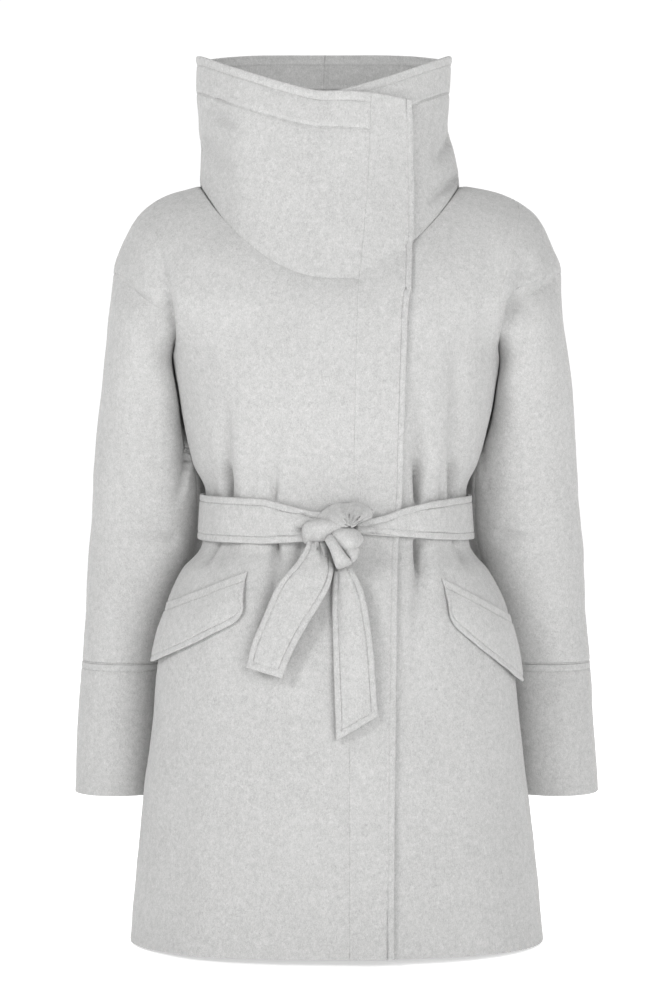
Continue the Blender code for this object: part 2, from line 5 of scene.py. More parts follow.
import bpy
import numpy as np
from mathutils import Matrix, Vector


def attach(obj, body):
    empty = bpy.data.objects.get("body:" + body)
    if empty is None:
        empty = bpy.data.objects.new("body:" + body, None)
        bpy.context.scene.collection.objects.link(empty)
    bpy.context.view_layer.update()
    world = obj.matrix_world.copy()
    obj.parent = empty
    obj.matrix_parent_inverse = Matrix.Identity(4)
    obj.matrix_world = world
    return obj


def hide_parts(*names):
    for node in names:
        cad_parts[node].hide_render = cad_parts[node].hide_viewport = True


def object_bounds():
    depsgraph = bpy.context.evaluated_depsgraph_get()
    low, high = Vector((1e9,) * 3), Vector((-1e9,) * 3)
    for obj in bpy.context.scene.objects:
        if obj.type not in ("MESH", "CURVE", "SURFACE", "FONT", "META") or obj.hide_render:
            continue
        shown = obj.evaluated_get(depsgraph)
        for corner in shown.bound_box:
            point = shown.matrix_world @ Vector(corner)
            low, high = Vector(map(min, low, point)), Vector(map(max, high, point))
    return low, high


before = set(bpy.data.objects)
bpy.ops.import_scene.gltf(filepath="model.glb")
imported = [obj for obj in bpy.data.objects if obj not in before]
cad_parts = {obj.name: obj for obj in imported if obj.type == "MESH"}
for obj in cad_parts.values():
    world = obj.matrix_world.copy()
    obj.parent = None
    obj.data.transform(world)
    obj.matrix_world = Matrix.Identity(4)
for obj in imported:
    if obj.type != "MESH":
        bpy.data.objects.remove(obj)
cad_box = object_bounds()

# ---- sizes, in metres
WALL = 0.0025
TURN_WIDTH = 0.010  # width of the cloth turned double along a free edge
BELT_WALL, FLAP_WALL, FAN_WALL = 0.0042, 0.0032, 0.0034
BELT_WIDTH = 0.050
LAYER_GAP = 0.0009
BELT_GAP = 0.0014
LIFT = WALL + LAYER_GAP
CELL = 0.0049  # side of a cell of the cloth meshes
COLLAR_CELL, BAND_CELL, CUFF_CELL, BELT_CELL, FINE_CELL = 0.0042, 0.0036, 0.0034, 0.0042, 0.0022
PLEAT_CELL = 0.0013  # spacing of the columns where the belt presses in a pleat deeper than PLEAT_DEPTH
PLEAT_DEPTH = 0.0064
BELT_MIDDLE, BELT_REACH = -0.365, 0.030  # height of the belt, and how far from it pleats count as its own
TRUNK_RADIUS = 0.13  # about the trunk's radius there
SEAM_OVERLAP = 0.0003  # how far two cloths meet past their seam
SEAM_ROUND = 0.0007  # radius of a cloth's edge in a seam
SEAM_DIP, SEAM_WIDTH = 0.0007, 0.0026  # how deep and wide a seam draws the cloth in
STITCH_DIP, STITCH_WIDTH = 0.0009, 0.0011  # the same for a row of topstitching
STITCH_PITCH, STITCH_LENGTH, STITCH_THICK = 0.0036, 0.0026, 0.00042
EDGE_STITCH, FLAP_STITCH, BELT_STITCH, CUFF_STITCH = 0.0065, 0.0070, 0.0078, 0.0075  # from the edge
RIM_STITCH, SEAM_STITCH = 0.0100, 0.0020
EDGE_TURN, COLLAR_TURN = 0.0014, 0.0012  # how much thicker the cloth is where it is turned double
FREE_EDGE_DEG = 35.0  # about the angle of the over front's free edge
RIM_DROP = 0.12  # the share of their rise to the side by which the over front's rows sink there
FRONT_BOW, BACK_BOW = 1.4, 3.5  # how the rim's front sinks and its back rises between the sides
RIM_LEAN = 0.0045  # how far the over front's rim leans off the under front's
ARMHOLE_REACH = 33.0  # half the armhole's width in degrees round the trunk
PER_METRE = 1000  # the tables of the sleeves, the belt, the creases and the knot are in millimetres

# The trunk's rings from hem to rim. princess is the angle of the front's long seams.
RING_COLUMNS = (
    "centre_x", "half_width", "side_z", "front_z", "front_depth", "back_z", "back_depth",
    "squareness", "edge_x", "band_x", "princess",
)  # fmt: skip
RINGS = {
    "hem": (0.000, 0.2270, -0.824, -0.818, 0.150, -0.824, 0.144, 2.10, 0.0596, 0.0142, 77),
    "thigh": (0.000, 0.2156, -0.710, -0.710, 0.1445, -0.710, 0.1395, 2.10, 0.0604, 0.0137, 76),
    "cuff_seam": (0.000, 0.2020, -0.590, -0.590, 0.140, -0.590, 0.136, 2.10, 0.0615, 0.0142, 74),
    "hip": (0.000, 0.1960, -0.525, -0.525, 0.136, -0.525, 0.133, 2.12, 0.0625, 0.0150, 73),
    "flap_top": (0.000, 0.1880, -0.465, -0.465, 0.130, -0.465, 0.128, 2.15, 0.0632, 0.0160, 72),
    "below_belt": (0.000, 0.1700, -0.422, -0.422, 0.121, -0.422, 0.118, 2.15, 0.0640, 0.0168, 73),
    "belt_low": (0.000, 0.1470, -0.390, -0.390, 0.111, -0.390, 0.106, 2.15, 0.0650, 0.0174, 76),
    "belt_top": (0.000, 0.1435, -0.335, -0.335, 0.110, -0.335, 0.104, 2.15, 0.0690, 0.0184, 77),
    "waist": (0.000, 0.1575, -0.300, -0.300, 0.117, -0.300, 0.108, 2.20, 0.0700, 0.0188, 79),
    "bust": (0.000, 0.1690, -0.248, -0.252, 0.128, -0.250, 0.113, 2.35, 0.0712, 0.0195, 79),
    "ribs": (0.000, 0.1770, -0.205, -0.220, 0.130, -0.210, 0.116, 2.50, 0.0722, 0.0202, 73),
    "underarm": (0.000, 0.1810, -0.180, -0.200, 0.130, -0.180, 0.118, 2.50, 0.0730, 0.0206, 68),
    "arm_middle": (0.000, 0.2140, -0.137, -0.175, 0.128, -0.135, 0.119, 2.25, 0.0738, 0.0214, 53),
    "tip": (0.001, 0.2455, -0.094, -0.152, 0.126, -0.088, 0.119, 2.10, 0.0745, 0.0220, 44),
    "deltoid": (0.001, 0.2370, -0.066, -0.144, 0.125, -0.060, 0.117, 2.10, 0.0752, 0.0222, 49),
    "shoulder": (0.001, 0.2170, -0.0305, -0.132, 0.122, -0.030, 0.113, 2.10, 0.0762, 0.0226, 62),
    "yoke": (-0.002, 0.1830, -0.008, -0.121, 0.118, 0.002, 0.105, 2.10, 0.0774, 0.0232, 90),
    "neck": (-0.007, 0.1440, 0.003, -0.112, 0.114, 0.022, 0.095, 2.10, 0.0785, 0.0240, 90),
    "collar_low": (-0.009, 0.1395, 0.037, -0.062, 0.107, 0.055, 0.090, 2.15, 0.0805, 0.0285, 90),
    "collar_high": (-0.014, 0.1360, 0.070, -0.006, 0.100, 0.092, 0.087, 2.20, 0.0815, 0.0330, 90),
    "band_seam": (-0.014, 0.1385, 0.101, 0.049, 0.094, 0.124, 0.086, 2.25, 0.0795, 0.0350, 90),
    "rim": (-0.0126, 0.1395, 0.143, 0.0885, 0.088, 0.163, 0.084, 2.30, 0.0767, 0.0358, 90),
}
NAMES = list(RINGS)
NECK, RIM, UNDERARM, TIP = (float(NAMES.index(n)) for n in ("neck", "rim", "underarm", "tip"))
YOKE, BAND_SEAM = (float(NAMES.index(n)) for n in ("yoke", "band_seam"))

# Rings of the sleeve: x and z of its outer and of its inner side, the middle of its depth, half its depth.
SLEEVE_RINGS = (
    (247.5, -126, 172, -198, 0, 72),
    (253.5, -172, 166, -222, 6, 70),
    (262, -228, 160, -262, 22, 66),
    (268.6, -300, 146, -315, 42, 63),
    (277, -385, 148, -388, 62, 61),
    (284, -465, 174, -467, 78, 58),
    (288, -526, 186, -527, 82, 56),
)
CUFF_RINGS = (
    (288, -526.2, 186, -527.2, 82, 56.2),
    (292.5, -600, 190, -601, 80, 56),
    (297, -672, 195, -672, 76, 55),
)
SLEEVE_CLEAR = 0.0020
TOP_SLEEVE = (-90.0, 150.0)  # the top sleeve's edges, in degrees from the outer side over the front

FLAP_COLUMNS = ("inner_top_deg", "inner_low_deg", "outer_top_deg", "outer_low_deg",
                "inner_top_z", "inner_low_z", "outer_top_z", "outer_low_z")  # fmt: skip
FLAPS = {
    "right": (-31.5, -29.5, -76.0, -86.0, -0.430, -0.469, -0.464, -0.521),
    "left": (38.5, 37.5, 79.0, 90.0, -0.436, -0.473, -0.478, -0.543),
}
# The belt's angle round the trunk, and the height of its top and its low edge there.
BELT = (
    (8, -364, -379.5),
    (14, -362.5, -380.5),
    (20, -359, -381.5),
    (28, -351.4, -383.2),
    (42, -344, -386.2),
    (60, -340, -387.5),
    (90, -336.5, -386.5),
    (180, -333, -383),
    (270, -335.5, -385.5),
    (300, -338.5, -389),
    (330, -341.5, -391),
    (350, -354.5, -388),
    (358, -356, -387),
)
# The belt's ends from the knot down: x and z of the left and of the right edge, and the stand-off.
TAIL_SHORT = (
    (-28.5, -382, -10, -386.5, 12),
    (-34.5, -396, -4.5, -401, 16.5),
    (-42.5, -408.5, -1.8, -415, 18),
    (-52.5, -420, -5, -431, 17),
    (-62, -433, -12.3, -444.5, 16),
    (-76.5, -465.5, -32, -476.5, 14.5),
    (-87.5, -491, -46.4, -504, 13.5),
    (-94, -517, -55.7, -527.5, 12.5),
)
TAIL_LONG = (
    (-2, -413.5, 17.2, -412.5, 13),
    (-5, -439, 29, -438, 12.5),
    (-4.2, -473, 35.8, -473, 9.5),
    (-3, -509, 40, -509, 6.5),
    (-1.5, -550, 42.5, -546, 4.5),
    (0, -592, 44, -567, 3.5),
)

# Creases of the trunk: the side they are on (-1 front, 1 back), then points of x, z, half width and
# depth in millimetres. A negative depth is a ridge.
TRUNK_CREASES = (
    # pleats that the belt presses in above it
    (-1, (-116.5, -344, 3.4, 19), (-116.5, -328, 4.4, 16.5), (-117, -300, 6.2, 8), (-119, -215, 11, 0)),
    (-1, (-100, -342, 6, -2.6), (-102, -250, 9, 0)),
    (-1, (-65.5, -342, 3.4, 7), (-64.5, -300, 7, 2.6), (-62, -245, 9, 0)),
    (-1, (-82, -342, 6, -2), (-84, -270, 8, 0)),
    (-1, (88.5, -344, 3.6, 24), (88, -322, 4.6, 19), (87, -295, 7.2, 9), (86, -205, 10, 0)),
    (-1, (104, -342, 6, -2.8), (108, -240, 9, 0)),
    (-1, (126.5, -342, 3.6, 24), (127, -322, 4.6, 19), (127.5, -290, 7.5, 8.5), (130, -185, 10, 2.2),
     (165, -78, 11, 0)),
    (-1, (113, -342, 3, 3), (114, -280, 5, 0)),
    (-1, (-134, -342, 5, 3), (-142, -270, 8, 0)),
    # below the belt
    (-1, (-126, -386, 3, 11), (-134, -398, 4.2, 7), (-142, -414, 5.5, 0)),
    (-1, (-64, -388, 4, 13), (-62.5, -408, 6.2, 9), (-70, -460, 10.5, 4.5), (-78, -545, 13, 0)),
    (-1, (-38.5, -388, 3.2, 6), (-40, -418, 7, 0)),
    (-1, (-90, -388, 8, -2.4), (-98, -440, 11, 0)),
    (-1, (88, -388, 4, 22), (88.5, -408, 5, 15), (90, -440, 8, 7), (80, -520, 11, 2.6), (83, -600, 14, 0)),
    (-1, (104, -388, 8, -2.8), (106, -480, 13, 0)),
    (-1, (128, -386, 3.2, 9), (142, -420, 6.5, 0)),
    # between chest and arm
    (-1, (-190, -66, 8, 0), (-187, -98, 9, 5), (-185.5, -120, 9.5, 6), (-183, -140, 8, 15),
     (-180, -162, 7, 13), (-176, -186, 6, 0)),
    (-1, (208.5, -76, 8, 0), (203.5, -98, 9, 5), (198, -118, 9.5, 6), (192.5, -140, 7.5, 13),
     (185, -166, 6.5, 11), (178, -188, 6, 0)),
    (-1, (177, -72, 10, 0), (170, -100, 11, 3.4), (156, -160, 13, 3.4), (150, -205, 13, 0)),
    (-1, (-148, -70, 16, 0), (-148, -120, 16, 1.8), (-146, -180, 16, 0)),
    # collar
    (-1, (-137, 80, 4.5, 5.2), (-118, 64, 5.5, 4.2), (-95, 48, 6, 0)),
    (-1, (-125, 56, 6, -2.6), (-95, 35, 7, -1.8), (-68, 17, 7, 0)),
    (-1, (-142, 42, 7, 7.2), (-125, 18, 9, 4.8), (-108, 0, 9, 0)),
    (-1, (-130, 88, 4, 2.6), (-100, 82, 4, 0)),
    (-1, (130, 56, 5.5, 8.5), (115, 33, 6.5, 5.2), (106, 16, 7, 0)),
    (-1, (125, 15, 7, -2.6), (108, -10, 6, 0)),
    (-1, (134, 6, 4.5, 9), (113, -13, 5, 6.5), (96, -31, 5, 0)),
    # the back, pressed in by the belt
    (1, (-106, -338, 6, 8.5), (-104, -290, 9, 4.5), (-100, -215, 13, 0)),
    (1, (-62, -338, 5, 6), (-60, -280, 9, 2.5), (-56, -200, 13, 0)),
    (1, (-23, -338, 4.5, 4), (-21, -285, 8, 0)),
    (1, (37, -338, 5, 6.5), (38, -280, 9, 3), (42, -190, 13, 0)),
    (1, (78, -338, 5, 5), (80, -290, 8, 0)),
    (1, (110, -338, 6, 9), (108, -285, 9, 4.5), (103, -200, 13, 0)),
    (1, (-42, -338, 8, -2), (-40, -270, 11, 0)),
    (1, (94, -338, 7, -2), (93, -270, 11, 0)),
    (1, (-96, -388, 6, 8), (-104, -430, 9, 4), (-112, -500, 14, 0)),
    (1, (-48, -388, 5, 6.5), (-52, -450, 10, 3), (-56, -560, 15, 0)),
    (1, (15, -388, 5, 4.5), (16, -440, 9, 0)),
    (1, (62, -388, 5.5, 7), (68, -450, 10, 3.5), (74, -570, 15, 0)),
    (1, (108, -388, 6, 7.5), (116, -430, 9, 3.5), (125, -500, 14, 0)),
    (1, (-184, -66, 6, 0), (-180, -120, 7, 7), (-174, -182, 6, 0)),
    (1, (190, -70, 6, 0), (185, -120, 7, 7), (176, -182, 6, 0)),
    (1, (-125, 70, 6, 3), (-90, 50, 8, 0)),
    (1, (110, 72, 6, 3), (70, 56, 8, 0)),
    (1, (-130, 30, 8, 4), (-95, 25, 9, 0)),
    (1, (120, 32, 8, 4), (85, 28, 9, 0)),
)  # fmt: skip

# Creases of the sleeves, for the viewer's left (right arm) and right (left arm) in the same way.
SLEEVE_CREASES = {
    "right": (
        (-1, (-156, -240, 12, 0), (-152, -300, 18, 10), (-152, -350, 18, 10), (-160, -400, 14, 0)),
        (-1, (-200, -190, 9, 0), (-202, -260, 11, 2.2), (-208, -350, 12, 0)),
        (-1, (-235, -240, 11, 0), (-240, -320, 13, 1.6), (-248, -420, 13, 0)),
        (-1, (-198, -380, 8, 0), (-206, -440, 10, 1.8), (-220, -500, 10, 0)),
        (1, (-185, -340, 8, 5), (-215, -330, 11, 3), (-250, -345, 11, 0)),
        (1, (-185, -390, 8, 5), (-220, -392, 11, 3), (-260, -380, 12, 0)),
        (1, (-210, -210, 9, 0), (-214, -260, 11, 2.5), (-216, -310, 11, 0)),
    ),
    "left": (
        (-1, (150, -240, 7, 0), (149, -275, 8, 7), (151, -315, 8.5, 10), (158, -355, 9, 6),
         (168, -400, 8, 0)),
        (-1, (208, -120, 8, 0), (204, -180, 10, 2.2), (203, -260, 11, 0)),
        (-1, (226, -130, 7, 0), (221, -200, 9, 1.8), (220, -300, 11, 0)),
        (-1, (250, -280, 11, 0), (252, -350, 12, 1.4), (254, -430, 12, 0)),
        (-1, (200, -390, 8, 0), (208, -450, 10, 1.8), (220, -510, 10, 0)),
        (1, (185, -330, 8, 5), (215, -322, 11, 3), (250, -335, 11, 0)),
        (1, (185, -385, 8, 5), (220, -388, 11, 3), (260, -376, 12, 0)),
        (1, (212, -200, 9, 0), (215, -250, 11, 2.5), (217, -300, 11, 0)),
    ),
}  # fmt: skip


# ---- small sums
def table_slopes(values):
    """Slopes of a curve through the values that never overshoots them."""
    steps = np.diff(values)
    slopes = np.empty(len(values))
    slopes[0], slopes[-1] = steps[0], steps[-1]
    before, after = steps[:-1], steps[1:]
    both = before + after
    safe = np.where(np.abs(both) < 1e-12, 1.0, both)
    slopes[1:-1] = np.where(before * after > 0, 2 * before * after / safe, 0.0)
    return slopes


def cubic(values, slopes, t):
    """Values of a table, or rows of a grid, at places between them."""
    i = np.clip(np.floor(t).astype(int), 0, len(values) - 2)
    f = (t - i).reshape(np.shape(t) + (1,) * (values.ndim - 1))
    rise = f * f * (3 - 2 * f)
    bend = slopes[i] * f * (1 - f) ** 2 + slopes[i + 1] * f * f * (f - 1)
    return values[i] * (1 - rise) + values[i + 1] * rise + bend


def through_rows(rows, places):
    """Rows of a grid at places between them, on a smooth curve through them all."""
    rows = np.asarray(rows, float)
    slopes = np.empty_like(rows)
    slopes[1:-1] = (rows[2:] - rows[:-2]) / 2
    slopes[0], slopes[-1] = rows[1] - rows[0], rows[-1] - rows[-2]
    return cubic(rows, slopes, places)


def smooth_step(value, start, end):
    f = np.clip((value - start) / (end - start), 0, 1)
    return f * f * (3 - 2 * f)


def bell(value, middle, half_width):
    return np.exp(-(((value - middle) / half_width) ** 2))


def unit(v):
    return v / np.maximum(np.linalg.norm(v, axis=-1, keepdims=True), 1e-12)


def make_tracks():
    tracks = {}
    for i, column in enumerate(RING_COLUMNS):
        values = np.array([row[i] for row in RINGS.values()], float)
        below, above = values[: int(NECK) + 1], values[int(NECK) :]
        tracks[column] = (below, table_slopes(below), above, table_slopes(above))
    return tracks


TRACKS = make_tracks()


def ring_value(column, t):
    below, below_slopes, above, above_slopes = TRACKS[column]
    t = np.asarray(t, float)
    low = cubic(below, below_slopes, np.minimum(t, NECK))
    return np.where(t <= NECK, low, cubic(above, above_slopes, np.maximum(t - NECK, 0)))


def ring_at_height(z):
    low, high = np.zeros(np.shape(z)), np.full(np.shape(z), UNDERARM)
    for _ in range(24):
        middle = (low + high) / 2
        below = ring_value("side_z", middle) < z
        low, high = np.where(below, middle, low), np.where(below, high, middle)
    return (low + high) / 2


def level_share(sine, t, front):
    """How far a ring has gone from its side's height towards that of its middle front or back."""
    rim = smooth_step(t, NECK, RIM)
    return 1 - np.abs(sine) ** (2 + (np.where(front, FRONT_BOW, BACK_BOW) - 2) * rim)


def ring_point(angle, t):
    a = np.radians(angle)
    sine, cosine = np.sin(a), np.cos(a)
    power = ring_value("squareness", t)
    reach = (np.abs(sine) ** power + np.abs(cosine) ** power) ** (-1 / power)
    front = cosine >= 0
    depth = np.where(front, ring_value("front_depth", t), ring_value("back_depth", t))
    side_z = ring_value("side_z", t)
    middle_z = np.where(front, ring_value("front_z", t), ring_value("back_z", t))
    x = ring_value("centre_x", t) + ring_value("half_width", t) * sine * reach
    z = side_z + (middle_z - side_z) * level_share(sine, t, front)
    return np.stack([x, -depth * cosine * reach, z], axis=-1)


def angle_of_x(x, t):
    power = ring_value("squareness", t)
    share = np.clip((x - ring_value("centre_x", t)) / ring_value("half_width", t), -1, 1)
    return np.degrees(np.arctan2(share, (1 - np.abs(share) ** power) ** (1 / power)))


def run_level(angle, t):
    """Rows of the over front run on level past the middle front."""
    x = ring_point(angle, t)[..., 0]
    side_z, front_z = ring_value("side_z", t), ring_value("front_z", t)
    level = front_z - RIM_DROP * np.maximum(0, side_z - front_z) * (angle / FREE_EDGE_DEG) ** 2
    low, high = np.full(np.shape(t), UNDERARM - 4), np.array(t, float)
    for _ in range(22):
        middle = (low + high) / 2
        below = ring_point(angle_of_x(x, middle), middle)[..., 2] < level
        low, high = np.where(below, middle, low), np.where(below, high, middle)
    moves = (angle > 0) & (angle < 90) & (t > UNDERARM - 3)
    return np.where(moves, angle_of_x(x, low), angle), np.where(moves, low, t)


def lift_at(angle):
    return LIFT * smooth_step(angle, -50, -38)


def trunk(angle, t, layer=0, out=0.0):
    """Points of the trunk's outer face and the way out there."""
    angle, t = np.broadcast_arrays(np.asarray(angle, float), np.asarray(t, float))
    lean = RIM_LEAN * smooth_step(t, BAND_SEAM - 1, RIM) * smooth_step(angle, -15, 25)
    if layer == 1:
        angle, t = run_level(angle, t)
    here = ring_point(angle, t)
    around = ring_point(angle + 0.5, t) - ring_point(angle - 0.5, t)
    low_t = np.maximum(t - 0.05, np.where(t > NECK, NECK, 0))
    high_t = np.minimum(t + 0.05, np.where(t < NECK, NECK, RIM))
    normal = unit(np.cross(around, ring_point(angle, high_t) - ring_point(angle, low_t)))
    lift = lift_at(angle) + lean if layer == 1 else 0.0
    return here + normal * (np.asarray(out) + lift)[..., None], normal


def crease_depth(points, creases):
    """How far the listed creases press in at each point; each fades over its half width."""
    x, y, z = points[..., 0], points[..., 1], points[..., 2]
    total = np.zeros(x.shape)
    for side, *spots in creases:
        deepest = np.zeros(x.shape)
        spots = np.array(spots) / PER_METRE
        for (x0, z0, w0, d0), (x1, z1, w1, d1) in zip(spots, spots[1:]):
            run_x, run_z = x1 - x0, z1 - z0
            share = np.clip(((x - x0) * run_x + (z - z0) * run_z) / (run_x**2 + run_z**2), 0, 1)
            away = np.hypot(x - x0 - run_x * share, z - z0 - run_z * share)
            width = w0 + (w1 - w0) * share
            depth = (d0 + (d1 - d0) * share) * bell(away, 0, width)
            deepest = np.where(np.abs(depth) > np.abs(deepest), depth, deepest)
        total += np.where(y * side > 0, deepest, 0.0)
    return total


def ripple(points, size, seed, waves=12):
    """Smooth irregular relief between about -1 and 1 whose hollows are about size metres apart."""
    rng = np.random.default_rng(seed)
    ways = unit(rng.normal(size=(waves, 3)))
    total = np.zeros(points.shape[:-1])
    for way in ways:
        pitch = size * rng.uniform(0.7, 1.6)
        total += np.sin(points @ way * (2 * math.pi / pitch) + rng.uniform(0, 2 * math.pi))
    return total / math.sqrt(waves) * 0.8


def cloth_relief(points, seed):
    """The lie of brushed cloth: slow swells and a slight unevenness."""
    swell = 0.0011 * ripple(points, 0.110, seed) + 0.00035 * ripple(points, 0.034, seed + 1)
    return swell + 0.00010 * ripple(points, 0.009, seed + 2)


# ---- shells
def lines(length, step, start=(), end=(), round_off=WALL / 2):
    """Shares from 0 to 1 along a side: close lines at its ends, closer ones at rows of stitching."""
    near = [0.0, 0.12 * round_off, 0.45 * round_off, round_off, 0.0022, 0.0038]
    groove = [-0.0018, -0.0009, 0.0, 0.0009, 0.0018]
    low = near + [s + g for s in start for g in groove]
    high = near + [s + g for s in end for g in groove]
    low_end, high_end = max(low), length - max(high)
    count = max(1, round((high_end - low_end) / step))
    inner = [low_end + (high_end - low_end) * k / count for k in range(count + 1)]
    marks = np.unique(np.round([*low, *inner, *(length - h for h in high)], 6))
    keep = [marks[0]]
    for mark in marks[1:]:
        if mark - keep[-1] > 0.00008:
            keep.append(mark)
    keep[-1] = length
    return np.array(keep) / length


def from_start(points, axis):
    """Length along each row (axis 1) or column (axis 0) of a grid from its start."""
    steps = np.linalg.norm(np.diff(points, axis=axis), axis=-1)
    zero = np.zeros_like(np.take(steps, [0], axis=axis))
    return np.concatenate([zero, np.cumsum(steps, axis=axis)], axis=axis)


def normals_of(points, closed):
    if closed:
        ring = np.concatenate([points[:, -1:], points, points[:, :1]], axis=1)
        across = (ring[:, 2:] - ring[:, :-2]) / 2
    else:
        across = np.gradient(points, axis=1)
    return unit(np.cross(across, np.gradient(points, axis=0)))


SEAM, FAINT, FREE = "seam", "faint", "free"
SEAMS = {SEAM: (SEAM_DIP, SEAM_ROUND), FAINT: (0.0002, 0.0003)}  # dip, radius of the edge
TRUNK_SEED, SLEEVE_SEEDS = 7, {"left": 31, "right": 41}
SIDES = ("low", "high", "left", "right")  # first row, last row, first column, last column
ALL_FREE = dict.fromkeys(SIDES, FREE)


def edge_distances(points, closed):
    along_rows, along_columns = from_start(points, 1), from_start(points, 0)
    found = {"low": along_columns, "high": along_columns[-1:] - along_columns}
    if not closed:
        found["left"], found["right"] = along_rows, along_rows[:, -1:] - along_rows
    return found


def shell(name, points, edges, wall=WALL, stitches=(), closed=False, relief=None, slot="wool", held="hung",
          turned=0.0, out=None):
    """A cloth with thickness. points is its outer face as a grid; edges says for each side whether it is
    a seam or free; stitches lists (side, distance) of rows of topstitching."""  # fmt: skip
    away = edge_distances(points, closed)
    out = normals_of(points, closed) if out is None else out
    press = np.zeros(points.shape[:2]) if relief is None else np.array(relief, float)
    thick = np.full(points.shape[:2], wall)
    nearest = np.full(points.shape[:2], 1.0)
    round_off = np.full(points.shape[:2], wall / 2)
    for side, distance in away.items():
        if edges[side] in SEAMS:
            press += SEAMS[edges[side]][0] * bell(distance, 0, SEAM_WIDTH)
        else:
            double = turned * smooth_step(distance, TURN_WIDTH, TURN_WIDTH * 0.6)
            thick += double
            press -= double
        nearer = distance < nearest
        nearest = np.where(nearer, distance, nearest)
        radius = SEAMS[edges[side]][1] if edges[side] in SEAMS else wall / 2
        round_off = np.where(nearer, radius, round_off)
    within = {}
    for side, distance in stitches:
        others = [away[s] > d - 0.0004 for s, d in stitches if s != side]
        within[side, distance] = np.all(others, axis=0) if others else np.ones(press.shape, bool)
        press += np.where(within[side, distance], STITCH_DIP * bell(away[side], distance, STITCH_WIDTH), 0.0)
    middle = points - out * (press + thick / 2)[..., None]
    out = normals_of(middle, closed)
    curve = np.clip(nearest / round_off, 0, 1)
    half = thick / 2 * np.sqrt(np.maximum(0, 1 - (1 - curve) ** 2))
    outer = middle + out * half[..., None]
    inner = middle - out * half[..., None]
    thing = build(name, outer, inner, closed, slot)
    runs = []
    for side, distance in stitches:
        reach = np.where(within[side, distance], away[side], -1.0)
        runs.append(stitch_path(outer, out, reach, side, distance))
    if runs:
        THREADS.append((thing, [run for run in runs if len(run[0]) > 4], slot))
    area = float(np.linalg.norm(cell_cross(points, closed), axis=-1).sum())
    width = float(from_start(points, 1)[:, -1].max())
    length = float(from_start(points, 0)[-1].max())
    CUTS[name] = (width, length, area, held)


def cell_cross(points, closed):
    if closed:
        points = np.concatenate([points, points[:, :1]], axis=1)
    return np.cross(points[:-1, 1:] - points[:-1, :-1], points[1:, :-1] - points[:-1, :-1])


def build(name, outer, inner, closed, slot):
    """One closed mesh from two faces that share their border."""
    rows, columns = outer.shape[:2]
    front = np.arange(rows * columns).reshape(rows, columns)
    border = np.zeros((rows, columns), bool)
    border[0], border[-1] = True, True
    if not closed:
        border[:, 0], border[:, -1] = True, True
    back = front.copy()
    back[~border] = rows * columns + np.arange((~border).sum())
    points = np.concatenate([outer.reshape(-1, 3), inner[~border]])
    if closed:
        front, back = np.hstack([front, front[:, :1]]), np.hstack([back, back[:, :1]])
    quads = []
    for ids, turn in ((front, False), (back, True)):
        quad = np.stack([ids[:-1, :-1], ids[:-1, 1:], ids[1:, 1:], ids[1:, :-1]], axis=-1).reshape(-1, 4)
        quads.append(quad[:, ::-1] if turn else quad)
    return add_piece(name, points.tolist(), np.concatenate(quads).tolist(), slot)


def tube_faces(base, steps, around, turned=False):
    """Faces of a closed tube whose rings of points start at number base."""
    ring = base + np.arange(steps * around).reshape(steps, around)
    beside = np.roll(ring, -1, axis=1)
    corners, ends = [ring[:-1], beside[:-1], beside[1:], ring[1:]], [ring[0, ::-1], ring[-1]]
    if turned:
        corners, ends = [ring[:-1], ring[1:], beside[1:], beside[:-1]], [ring[0], ring[-1, ::-1]]
    return [*np.stack(corners, axis=-1).reshape(-1, 4).tolist(), *(end.tolist() for end in ends)]


def add_object(name, points, faces):
    mesh = bpy.data.meshes.new(name)
    mesh.from_pydata(points, [], faces)
    mesh.update()
    thing = bpy.data.objects.new(name, mesh)
    bpy.context.scene.collection.objects.link(thing)
    return thing


def add_piece(name, points, faces, slot, material=None):
    thing = add_object(name, points, faces)
    thing.data.shade_smooth()
    thing.data.materials.append(MATERIALS[material or slot])
    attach(thing, "root")
    return thing


THREADS = []  # for each stitched cloth: the object, its rows of stitching and its slot
CUTS = {}  # for each cloth: width, length and area before it was hung, and how it is held


# ---- topstitching
def stitch_path(outer, out, away, side, distance):
    """Points and normals along a row of stitching at this distance from one side of a grid."""
    if side in ("low", "high"):
        outer, out, away = (np.swapaxes(a, 0, 1) for a in (outer, out, away))
    points, normals = [], []
    for row_points, row_out, row_away in zip(outer, out, away):
        order = np.argsort(row_away)
        near = np.abs(row_away - distance).min()
        if row_away[order[-1]] < distance or near > 0.0012:
            continue
        points.append(value_along(row_points[order], row_away[order], distance))
        normals.append(value_along(row_out[order], row_away[order], distance))
    return np.array(points), unit(np.array(normals))


def value_along(rows, length, place):
    return np.array([np.interp(place, length, rows[:, axis]) for axis in range(3)])


